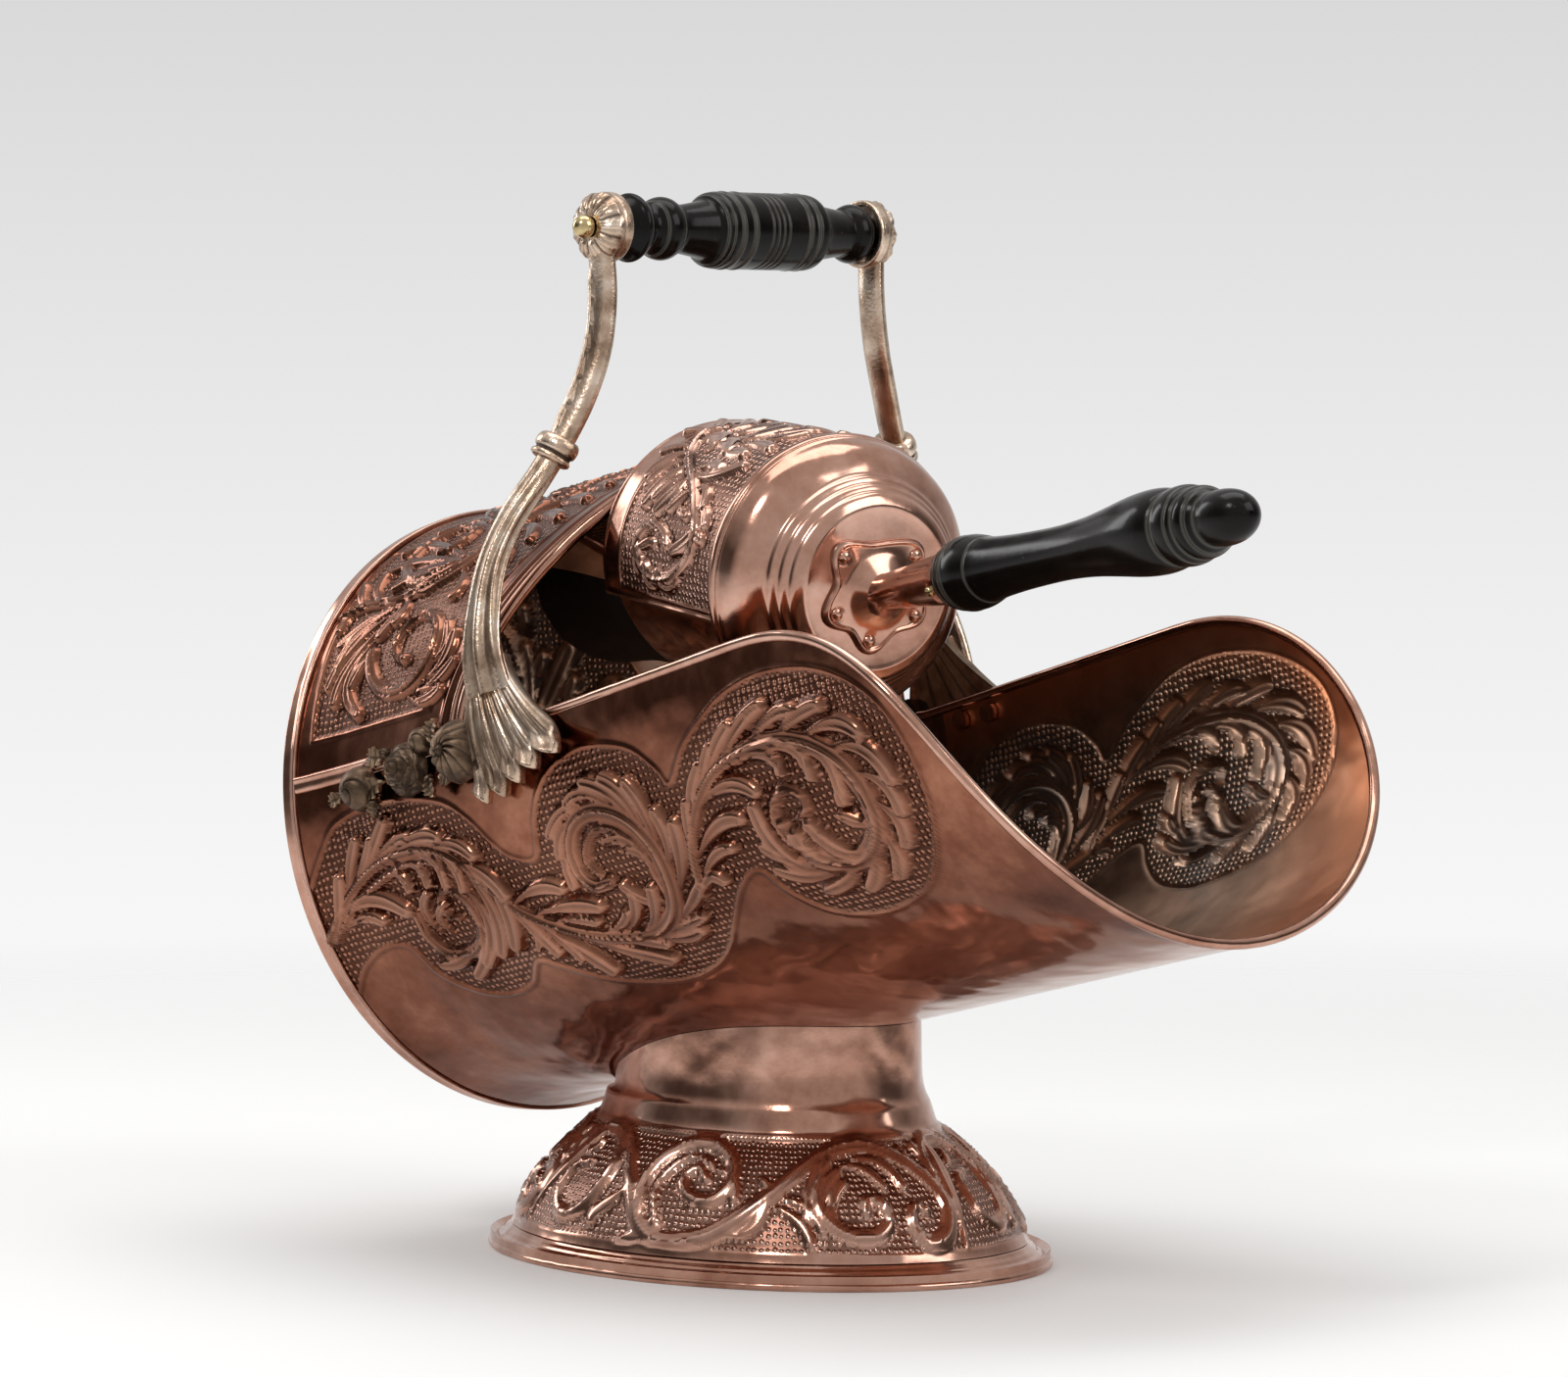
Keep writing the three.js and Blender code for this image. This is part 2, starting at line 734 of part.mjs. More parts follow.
// A domed nut with a blind bore for the rod's end.
function domeNut(side) {
  const seat = socketOuter + gap;
  const floor = socketOuter + 2 + gap;
  const bore = rodRadius + gap;
  const profile = [
    [seat, bore],
    [seat, nutRadius],
    [seat + 3, nutRadius],
    [seat + 6, 0.7 * nutRadius],
    [seat + 7.8, 0],
    [floor, 0],
    [floor, bore],
    [seat, bore],
  ];
  const nut = turned(profile, 14);
  return nut.rotateZ(side * (Math.PI / 2)).translate(...gripCentre.toArray());
}

// ---- Scoop, built about its own +X axis with its cap's bead in the plane of X = 0 ----
const scoopYawGroup = new THREE.Group();
const scoop = new THREE.Group();
const scoopHandle = new THREE.Group();
scuttle.add(scoopYawGroup);
scoopYawGroup.add(scoop);
scoop.add(scoopHandle);

const onScoop = (along, round, radius) =>
  vector(along, radius * Math.sin(round), -radius * Math.cos(round));

function scoopArc(low, high, columns, stations, radiusAt, endAt) {
  const rounds = steps(columns, low, high);
  const rows = stations.map((share) => {
    const place = (round, depth) => {
      const along = -4.5 - gap + (endAt(round) + 4.5 + gap) * share;
      return onScoop(along, round, radiusAt(along, round) - depth);
    };
    return {
      outside: rounds.map((round) => place(round, 0)),
      inside: rounds.map((round) => place(round, sheet)),
    };
  });
  return sheetSolid(rows);
}

function scoopHoodRadius(along, round) {
  const reach = -along / scoopHoodLength;
  const crown = Math.max(0, -Math.cos(round)) ** 2;
  return scoopRadius + (scoopMouthRadius - scoopRadius - scoopCrownDrop * crown) * reach;
}

function scoopHood() {
  const start = scoopSideAngle;
  const end = 2 * Math.PI - scoopSideAngle;
  return scoopArc(start, end, 22, [0, 0.5, 1], scoopHoodRadius, () => -scoopHoodLength - 4);
}

const panRadius = scoopRadius - sheet - gap;
function scoopPan() {
  const half = scoopSideAngle + radians(6);
  const front = (round) => -scoopPanLength - 10 * (Math.abs(round) / half) ** 2;
  return scoopArc(-half, half, 14, [0, 0.5, 1], () => panRadius, front);
}

function scoopBlade() {
  const half = scoopSideAngle + radians(2);
  const radius = panRadius - sheet - gap;
  const start = -35;
  const lip = (round) => -bladeLength - 16 * Math.cos((round / half) * (Math.PI / 2));
  const flare = (along) => bladeFlare * Math.max(0, (-along - 110) / 80) ** 2;
  const rounds = steps(14, -half, half);
  const rows = [0, 0.45, 0.62, 0.75, 0.88, 1].map((share) => {
    const place = (round, depth) => {
      const along = start + (lip(round) - start) * share;
      return onScoop(along, round, radius + flare(along) - depth);
    };
    return {
      outside: rounds.map((round) => place(round, 0)),
      inside: rounds.map((round) => place(round, sheet)),
    };
  });
  return sheetSolid(rows);
}

// The spun back, stepped down to a flat that carries the boss plate.
function scoopCap() {
  const front = [
    [-4.2, scoopRadius + 1.1],
    [-2.5, scoopBeadRadius],
    [1.5, scoopBeadRadius],
    [3, scoopBeadRadius - 2.5],
    [12, scoopBeadRadius - 5.5],
    [21, scoopBeadRadius - 14.5],
    [27, scoopBeadRadius - 19.5],
    [32, scoopBeadRadius - 23],
    [capDepth, scoopBeadRadius - 26.5],
    [capDepth - 1.2, scoopBeadRadius - 29.5],
    [capDepth - 1.2, 0],
  ];
  const thin = front.map(([along, radius]) => [along - sheet, Math.max(0, radius - sheet)]);
  thin[0] = [-4.2, scoopRadius + 1.1 - sheet];
  thin[1] = [-3.2, scoopBeadRadius - sheet];
  return turned([...front.reverse(), ...thin], 24);
}

// Where hood and pan end, the cap's bead stands just ahead of them.
const bossSeat = capDepth - 1.2 + gap;

// The plate has a lobe for each rivet. Angles are measured round from the scoop's left.
const bossRivetAngles = [39, 142, 208, 263, 328].map(radians);
const bossRivetReach = 0.8 * bossRadius;

function bossReach(angle) {
  const lobe = bossRivetAngles
    .map((place) => Math.cos(angle - place))
    .reduce((sum, near) => sum + Math.max(0, near) ** 14, 0);
  return bossRadius * (0.76 + 0.24 * Math.min(1, lobe));
}

function bossPlate() {
  const outline = new THREE.Shape(
    steps(36, 0, 2 * Math.PI)
      .slice(0, 36)
      .map((t) => new THREE.Vector2(bossReach(t) * Math.cos(t), bossReach(t) * Math.sin(t))),
  );
  const options = { depth: 1.6, bevelEnabled: false };
  const plate = new THREE.ExtrudeGeometry(outline, options).rotateZ(Math.PI / 2);
  plate.rotateY(Math.PI / 2).translate(bossSeat, 0, 0);
  const swell = [
    [bossSeat + 0.5, 0],
    [bossSeat + 0.5, 17],
    [bossSeat + 1.6, 17],
    [bossSeat + 4.5, 13],
    [bossSeat + 6.5, ferruleRootRadius + 2],
    [bossSeat + 6.5, 0],
  ];
  return joined(plate, turned(swell, 20));
}

function bossRivet(angle) {
  const seat = bossSeat + 1.6 + gap;
  const profile = [[seat, 0], [seat, 2.6], [seat + 1.1, 2], [seat + 1.8, 0]];
  const [y, z] = [Math.cos(angle), Math.sin(angle)].map((part) => part * bossRivetReach);
  return turned(profile, 10).translate(0, y, z);
}

// The handle's own axis starts on the boss and rises from the scoop's axis.
const handleRoot = bossSeat + 9;
function ferrule() {
  const wall = 1.5;
  const profile = [
    [0, ferruleRootRadius - wall],
    [0, ferruleRootRadius],
    [ferruleLength, ferruleEndRadius],
    [ferruleLength, ferruleEndRadius - wall],
    [0, ferruleRootRadius - wall],
  ];
  return turned(profile, 16);
}

function ferruleScrew() {
  const along = ferruleLength - 6;
  const surface = ferruleEndRadius - (ferruleEndRadius - ferruleRootRadius) * (6 / ferruleLength);
  const head = new THREE.SphereGeometry(2.2, 10, 6, 0, 2 * Math.PI, 0, Math.PI / 2);
  const flat = new THREE.CircleGeometry(2.2, 10).rotateX(Math.PI / 2);
  const solid = fromTriangles([...trianglesOf(head), ...trianglesOf(flat)]);
  solid.rotateX(-radians(120)).translate(along, 0, 0);
  const lift = vector(0, -Math.sin(radians(60)), -Math.cos(radians(60)));
  return solid.translate(...lift.multiplyScalar(surface + 3 * gap).toArray());
}

const tangEnd = ferruleLength + 60;
function tang() {
  return turned([[1, 0], [1, tangRadius], [tangEnd, tangRadius], [tangEnd, 0]], 12);
}

function handle() {
  const bore = tangRadius + gap;
  const start = ferruleLength + gap;
  const end = ferruleLength + handleLength;
  const blind = tangEnd + 2;
  const profile = [
    [start, bore],
    [start, 13.5],
    [start + 3, 14.8],
    [start + 6, 14.2],
    [start + 9, 16.6],
    [start + 25, 16.6],
    [start + 30, 13.6],
    [start + 50, 13],
    [start + 90, 11.7],
    [start + 125, 14.2],
    [start + 148, 17.5],
    [start + 167, handleRadius],
    [start + 180, 17.6],
    [start + 187, 16],
    [start + 190, 17],
    [start + 194, 16.6],
    [start + 197, 15],
    [start + 203, 12],
    [start + 206, 11.2],
    [end - 14, 11.8],
    [end - 6, 9.5],
    [end, 0],
    [blind, 0],
    [blind, bore],
    [start, bore],
  ];
  return turned(profile, 16);
}

// ---- Assembly ----
const holes = [-1, 1].flatMap((side) => rivetHoles(side, bodyRadius - 3 * sheet, bodyRadius + 2));
addPiece("back_panel", copper, backPanel());
addPiece("back_rim", copper, backRim());
addPiece("body_shell", copper, cut(bodyShell(), ...holes));
const mouthBead = new MouthEdge(edgeBeadStart, edgeBeadOffset);
addPiece("body_edge_bead", copper, barAlong(mouthBead, edgeBeadRadius, 8, 52));
addPiece("hood", copper, hood());
addPiece("hood_front_bead", copper, barAlong(hoodEdge, hoodBeadRadius, 8, 26));
addPiece("foot_band", copper, cut(footPiece(skirtLevels, sheet), bodyEnvelope(gap)));
addPiece("foot_rim", copper, footPiece(baseLevels, 7));

for (const [suffix, side] of [["right", -1], ["left", 1]]) {
  addPiece(`seam_strip_${suffix}`, copper, seamStrip(side));
  addPiece(`bracket_${suffix}`, castBronze, bracket(side));
  addPiece(`arm_collar_${suffix}`, castBronze, armCollar(side));
  addPiece(`rose_spray_${suffix}`, castBronze, roseSpray(side));
  addPiece(`dome_nut_${suffix}`, brass, domeNut(side));
  rivetPlaces.forEach((place, i) => {
    addPiece(`bracket_rivet_${suffix}_${i + 1}`, copper, bracketRivet(side, place));
  });
}
addPiece("grip", ebonisedWood, grip());
addPiece("grip_rod", iron, gripRod());

addPiece("scoop_hood", copper, scoopHood(), scoop);
addPiece("scoop_pan", copper, scoopPan(), scoop);
addPiece("scoop_blade", iron, scoopBlade(), scoop);
addPiece("scoop_cap", copper, scoopCap(), scoop);
addPiece("scoop_boss_plate", copper, bossPlate(), scoop);
bossRivetAngles.forEach((angle, i) => {
  addPiece(`boss_rivet_${i + 1}`, copper, bossRivet(angle), scoop);
});
addPiece("scoop_ferrule", copper, ferrule(), scoopHandle);
addPiece("ferrule_screw", brass, ferruleScrew(), scoopHandle);
addPiece("scoop_tang", iron, tang(), scoopHandle);
addPiece("scoop_handle", ebonisedWood, handle(), scoopHandle);

// The handle rises from the scoop's axis, and the scoop lies with its mouth's right-hand edge
// against the bead of the scuttle's hood.
scoopHandle.position.x = handleRoot;
scoopHandle.rotation.y = -handleRise;
scoop.rotation.y = scoopPitch;
scoopYawGroup.rotation.z = scoopYaw;

const beadPoint = hoodEdge.getPoint(hoodEdge.shareAt(seatAngle));
const mouthPoint = onScoop(-scoopHoodLength - 4, scoopSeatAngle, scoopMouthRadius);
const turn = new THREE.Matrix4().makeRotationZ(scoopYaw);
turn.multiply(new THREE.Matrix4().makeRotationY(scoopPitch));
const seatGap = vector(hoodBeadRadius + 3 * gap, 0, 0);
scoopYawGroup.position.copy(beadPoint).sub(mouthPoint.applyMatrix4(turn)).add(seatGap);

scuttle.updateMatrixWorld(true);
const box = new THREE.Box3().setFromObject(scuttle, true);
const middle = box.getCenter(vector(0, 0, 0));
scuttle.position.set(-middle.x, -middle.y, -box.min.z);

export default scuttle;
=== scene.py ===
"""An embossed copper helmet coal scuttle with its loose scoop, dressed for a studio render.

For Blender 4.5. Lengths here are millimetres from the foot's centre on the floor: +X runs to
the pouring lip, +Y to the scuttle's left, +Z up. build() turns them into metres.
"""

import json

import bmesh
import bpy
import numpy as np
from mathutils import Matrix, Vector


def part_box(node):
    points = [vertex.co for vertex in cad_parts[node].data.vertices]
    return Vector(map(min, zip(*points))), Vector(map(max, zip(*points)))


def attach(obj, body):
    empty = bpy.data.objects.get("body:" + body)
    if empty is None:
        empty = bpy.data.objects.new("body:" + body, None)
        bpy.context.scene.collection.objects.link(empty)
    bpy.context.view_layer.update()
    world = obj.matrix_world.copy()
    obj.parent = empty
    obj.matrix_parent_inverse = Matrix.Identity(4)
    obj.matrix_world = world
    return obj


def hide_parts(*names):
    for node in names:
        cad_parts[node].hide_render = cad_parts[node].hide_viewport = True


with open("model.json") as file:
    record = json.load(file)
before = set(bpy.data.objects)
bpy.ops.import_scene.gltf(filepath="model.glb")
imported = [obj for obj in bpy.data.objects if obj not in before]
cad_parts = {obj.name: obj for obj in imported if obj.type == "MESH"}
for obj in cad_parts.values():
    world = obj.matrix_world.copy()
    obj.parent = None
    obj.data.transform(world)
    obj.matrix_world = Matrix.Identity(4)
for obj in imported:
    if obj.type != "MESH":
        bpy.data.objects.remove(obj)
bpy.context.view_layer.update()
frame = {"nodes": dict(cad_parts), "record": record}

MM = 0.001
foot_low, foot_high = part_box("foot_rim")
FOOT_X = (foot_low[0] + foot_high[0]) / 2  # metres
TAU = 2 * np.pi
rad = np.radians

# ---- Sizes shared with the solids ----
SHEET = 1.6
TROUGH_R = 145.0
TROUGH_RISE = rad(13)
PANEL_R = 150.0
PANEL_TILT = rad(9.3)
PANEL_CENTRE = np.array([-171.5, 0.0, 204.0])
FLARE = 45.0
TROUGH_LENGTH = 457.0
MOUTH_START = 320.0
MOUTH_POWER = 2.4
SEAM = rad(96.5)
SHOULDER = rad(95.2)
EDGE = rad(98.2)
HOOD_SIDE = 121.0
HOOD_CROWN = 213.0
HOOD_DROP = 7.0
RIM_WIDTH = 9.0
DOME_HEIGHT = 18.0
FOOT_LENGTH, FOOT_WIDTH = 306.0, 229.4
NECK_LENGTH, NECK_WIDTH = 172.0, 118.0
GRIP_CENTRE = np.array([-20.5, 0.0, 486.0])
CUP_FLOOR = 84.3
PUNCH_PITCH = 3.4  # from mark to mark on the punched ground
SIDE_NAMES = {-1: "right", 1: "left"}


# ---- Colours, materials ----
def colour(hex_code):
    """sRGB hex to linear RGBA: c/12.92 below 0.04045, else ((c+0.055)/1.055)^2.4."""
    parts = [int(hex_code[i : i + 2], 16) / 255 for i in (1, 3, 5)]
    lin = [c / 12.92 if c < 0.04045 else ((c + 0.055) / 1.055) ** 2.4 for c in parts]
    return (*lin, 1.0)


def node(tree, kind, links=None, stops=(), **settings):
    """Adds a node. links maps an input's name or number to a value or to an output socket.
    stops are a colour ramp's (place, hex colour)."""
    made = tree.nodes.new("ShaderNode" + kind)
    for key, value in settings.items():
        setattr(made, key, value)
    for key, value in (links or {}).items():
        if isinstance(value, bpy.types.NodeSocket):
            tree.links.new(value, made.inputs[key])
        else:
            made.inputs[key].default_value = value
    for k, (place, code) in enumerate(stops):
        if k == len(made.color_ramp.elements):
            made.color_ramp.elements.new(place)
        made.color_ramp.elements[k].position = place
        made.color_ramp.elements[k].color = colour(code)
    return made


def new_material(name, **constants):
    """A material with its shader's constants; an underscore in a name stands for a space."""
    made = bpy.data.materials.new(name)
    made.use_nodes = True
    tree = made.node_tree
    shader = tree.nodes["Principled BSDF"]
    for key, value in constants.items():
        shader.inputs[key.replace("_", " ")].default_value = value
    return made, tree, shader


def copper_material(name, rub_and_highlight_colour, light, mid, dark, grime_and_shade_colour, patina, patina_share, rough):
    """Raised copper sheet. High parts, and the front of the trough's belly, mixed lighter: partly
    polish, partly painted highlight and painted reflection. The hollows of the relief darkened
    brown, partly oxide and partly painted shade. A ground of round punch marks 3.4 mm apart, each
    pearl's top painted lighter as a highlight and the gaps between darkened as painted shade and
    grime; and the shallow dents of planishing and use."""
    made, tree, shader = new_material(name, Metallic=1.0)
    place = node(tree, "TexCoord").outputs["Object"]
    sheet = node(tree, "Attribute", attribute_name="sheet").outputs["Vector"]
    ground = node(tree, "Attribute", attribute_name="ground").outputs["Fac"]
    hollow = node(tree, "Attribute", attribute_name="hollow").outputs["Fac"]
    clouds = node(
        tree, "TexNoise", {"Vector": place, "Scale": 14.0, "Detail": 6.0, "Roughness": 0.6}
    ).outputs[0]
    smears = node(
        tree, "TexNoise", {"Vector": place, "Scale": 75.0, "Detail": 5.0, "Roughness": 0.65}
    ).outputs[0]
    tone = node(
        tree, "Math",
        {
            0: node(tree, "Math", {0: clouds, 1: 0.7}, operation="MULTIPLY").outputs[0],
            1: node(tree, "Math", {0: smears, 1: 0.3}, operation="MULTIPLY").outputs[0]
        },
        operation="ADD"
    ).outputs[0]
    base = node(
        tree, "ValToRGB", {"Fac": tone}, stops=[(0.34, dark), (0.5, mid), (0.66, light)]
    ).outputs["Color"]
    # Partly polish, partly painted highlight and painted reflection: the high relief and the front of the
    # trough's belly are mixed towards the light copper colour.
    base = node(
        tree, "Mix",
        {
            0: node(
                tree, "Math", {0: node(tree, "Attribute", attribute_name="rub_and_sheen").outputs["Fac"], 1: 0.5},
                operation="MULTIPLY"
            ).outputs[0],
            6: base, 7: colour(rub_and_highlight_colour)
        },
        data_type="RGBA"
    ).outputs[2]
    # Punch marks: nearly square cells on the sheet, each a low round pearl.
    dots = node(
        tree, "TexVoronoi", {"Vector": sheet, "Scale": 1000 / PUNCH_PITCH, "Randomness": 0.28}, feature="F1"
    ).outputs["Distance"]
    pearl = node(
        tree, "Math",
        {
            0: 1.0,
            1: node(
                tree, "Math",
                {0: node(tree, "Math", {0: dots, 1: 2.3}, operation="MULTIPLY").outputs[0], 1: 2.0},
                operation="POWER"
            ).outputs[0]
        },
        operation="SUBTRACT", use_clamp=True
    ).outputs[0]
    between = node(
        tree, "Math",
        {
            0: ground,
            1: node(
                tree, "Math",
                {0: 1.0, 1: node(tree, "Math", {0: pearl, 1: 2.5}, operation="MULTIPLY").outputs[0]},
                operation="SUBTRACT", use_clamp=True
            ).outputs[0]
        },
        operation="MULTIPLY"
    ).outputs[0]
    # Painted shade with oxide: the hollows of the relief and the gaps between the punch marks are mixed
    # towards the grime colour below.
    grime_and_shade = node(
        tree, "Math",
        {
            0: node(tree, "Math", {0: hollow, 1: 0.7}, operation="MULTIPLY").outputs[0],
            1: node(tree, "Math", {0: between, 1: 0.7}, operation="MULTIPLY").outputs[0]
        },
        operation="MAXIMUM"
    ).outputs[0]
    # Painted highlight: the top of each punch pearl is mixed towards the light copper colour.
    pearl_highlighted = node(
        tree, "Mix",
        {
            0: node(
                tree, "Math",
                {0: node(tree, "Math", {0: pearl, 1: ground}, operation="MULTIPLY").outputs[0], 1: 0.6},
                operation="MULTIPLY"
            ).outputs[0],
            6: base, 7: colour(rub_and_highlight_colour)
        },
        data_type="RGBA"
    ).outputs[2]
    grimed_and_shaded = node(tree, "Mix", {0: grime_and_shade, 6: pearl_highlighted, 7: colour(grime_and_shade_colour)}, data_type="RGBA").outputs[2]
    spots = node(
        tree, "TexNoise", {"Vector": place, "Scale": 9.0, "Detail": 8.0, "Roughness": 0.62}
    ).outputs[0]
    bloom = node(
        tree, "ValToRGB", {"Fac": spots}, stops=[(0.5, "#000000"), (0.66, "#FFFFFF")]
    ).outputs["Color"]
    # The bright mark: near the lip the patina is left off, and inside the sheet turns a light orange copper
    # (below): rubbed clean by use, and inside also painted light near the opening.
    dull = node(
        tree, "Math", {0: 1.0, 1: node(tree, "Attribute", attribute_name="bright").outputs["Fac"]},
        operation="SUBTRACT", use_clamp=True
    ).outputs[0]
    stained = node(
        tree, "Math",
        {0: node(tree, "Math", {0: bloom, 1: patina_share}, operation="MULTIPLY").outputs[0], 1: dull},
        operation="MULTIPLY"
    ).outputs[0]
    shown = node(
        tree, "Mix",
        {
            0: stained,
            6: node(
                tree, "Mix", {0: dull, 6: colour("#CC8660"), 7: grimed_and_shaded}, data_type="RGBA"
            ).outputs[2] if patina_share > 0.3 else grimed_and_shaded,
            7: colour(patina)
        },
        data_type="RGBA"
    ).outputs[2]
    tree.links.new(shown, shader.inputs["Base Color"])
    roughness = node(
        tree, "Math",
        {
            0: node(tree, "Math", {0: smears, 1: 0.1}, operation="MULTIPLY").outputs[0],
            1: node(tree, "Math", {0: grime_and_shade, 1: 0.22}, operation="MULTIPLY").outputs[0]
        },
        operation="ADD"
    ).outputs[0]
    tree.links.new(
        node(tree, "Math", {0: roughness, 1: rough}, operation="ADD").outputs[0], shader.inputs["Roughness"]
    )
    dents = node(
        tree, "TexNoise", {"Vector": place, "Scale": 36.0, "Detail": 1.6, "Roughness": 0.4}
    ).outputs[0]
    dented = node(tree, "Bump", {"Height": dents, "Strength": 0.45, "Distance": 0.0045})
    scratches = node(
        tree, "TexNoise", {"Vector": place, "Scale": 420.0, "Detail": 3.0}
    ).outputs[0]
    fine = node(
        tree,
        "Bump",
        {"Height": scratches, "Strength": 0.05, "Distance": 0.0004, "Normal": dented.outputs[0]},
    )
    punched = node(
        tree,
        "Bump",
        {
            "Height": node(tree, "Math", {0: pearl, 1: ground}, operation="MULTIPLY").outputs[0],
            "Strength": 0.9,
            "Distance": 0.0007,
            "Normal": fine.outputs[0],
        },
    )
    tree.links.new(punched.outputs[0], shader.inputs["Normal"])
    return made


polished_copper = copper_material(
    "polished_copper", "#E8C8BA", "#DBB3A2", "#C29582", "#9A6C59", "#54352A", "#7E5646", 0.25, 0.1
)
# A darker copy of the copper for the trough and the hood: partly old oxide, partly painted shade on the
# flanks.
browned_and_shaded_copper = copper_material(
    "browned_and_shaded_copper", "#BE8E77", "#A9745C", "#845340", "#5E3627", "#2E1A13", "#4A2C20", 0.25, 0.1
)
# Painted light: the inner copper's colours are set lighter than the outer's to make up for the shade inside
# the bowl; its grey-green patina is the metal's own.
inner_copper = copper_material(
    "oxidised_inner_copper", "#D2AE94", "#C2A089", "#9A7A66", "#6C5547", "#3A3330", "#687276", 0.6, 0.28
)


def cast_metal(name, light, mid, dark, rough, grain):
    """Sand-cast alloy, filed and polished on its high parts. Concave places and marked hollows
    are darkened brown, partly grime and partly painted shade.
    """
    made, tree, shader = new_material(name, Metallic=1.0)
    place = node(tree, "TexCoord").outputs["Object"]
    hollow = node(tree, "Attribute", attribute_name="hollow").outputs["Fac"]
    tone = node(
        tree, "TexNoise", {"Vector": place, "Scale": 60.0, "Detail": 6.0, "Roughness": 0.6}
    ).outputs[0]
    base = node(
        tree, "ValToRGB", {"Fac": tone}, stops=[(0.35, dark), (0.5, mid), (0.65, light)]
    ).outputs["Color"]
    pointed = node(tree, "NewGeometry").outputs["Pointiness"]
    recess = node(
        tree, "ValToRGB", {"Fac": pointed}, stops=[(0.45, "#FFFFFF"), (0.51, "#000000")]
    ).outputs["Color"]
    # Painted shade with grime: concave places and the hollow mark are mixed towards dark brown.
    grime_and_shade = node(
        tree, "Math",
        {
            0: node(tree, "Math", {0: recess, 1: 0.8}, operation="MULTIPLY").outputs[0],
            1: node(tree, "Math", {0: hollow, 1: 0.95}, operation="MULTIPLY").outputs[0]
        },
        operation="MAXIMUM"
    ).outputs[0]
    tree.links.new(
        node(tree, "Mix", {0: grime_and_shade, 6: base, 7: colour("#3B3029")}, data_type="RGBA").outputs[2],
        shader.inputs["Base Color"]
    )
    tree.links.new(
        node(
            tree, "Math",
            {0: node(tree, "Math", {0: grime_and_shade, 1: 0.3}, operation="MULTIPLY").outputs[0], 1: rough},
            operation="ADD"
        ).outputs[0],
        shader.inputs["Roughness"]
    )
    sand = node(
        tree, "TexNoise", {"Vector": place, "Scale": 700.0, "Detail": 4.0}
    ).outputs[0]
    bump = node(tree, "Bump", {"Height": sand, "Strength": grain, "Distance": 0.0005})
    tree.links.new(bump.outputs[0], shader.inputs["Normal"])
    return made


cast_bronze = cast_metal("cast_pale_bronze", "#EBD8C6", "#CDB39D", "#9C826D", 0.24, 0.45)
# The rose sprays: the same bronze, never polished, gone brown.
dark_bronze = cast_metal("cast_brown_bronze", "#A88E78", "#7D6652", "#4C3E33", 0.28, 0.45)
polished_brass = cast_metal("polished_brass", "#DCCBA0", "#C4AE80", "#967E54", 0.18, 0.1)


def iron_material():
    """Blackened sheet iron: a matte oxide skin with worn, slightly bluish patches."""
    made, tree, shader = new_material("blackened_iron", Metallic=0.75)
    place = node(tree, "TexCoord").outputs["Object"]
    tone = node(
        tree, "TexNoise", {"Vector": place, "Scale": 30.0, "Detail": 8.0, "Roughness": 0.65}
    ).outputs[0]
    tree.links.new(
        node(
            tree, "ValToRGB", {"Fac": tone}, stops=[(0.35, "#191817"), (0.55, "#262624"), (0.72, "#3C3B38")]
        ).outputs["Color"],
        shader.inputs["Base Color"],
    )
    tree.links.new(
        node(
            tree, "Math",
            {0: node(tree, "Math", {0: tone, 1: 0.3}, operation="MULTIPLY").outputs[0], 1: 0.38},
            operation="ADD"
        ).outputs[0],
        shader.inputs["Roughness"]
    )
    grain = node(
        tree, "TexNoise", {"Vector": place, "Scale": 260.0, "Detail": 6.0}
    ).outputs[0]
    bump = node(tree, "Bump", {"Height": grain, "Strength": 0.3, "Distance": 0.0006})
    tree.links.new(bump.outputs[0], shader.inputs["Normal"])
    return made


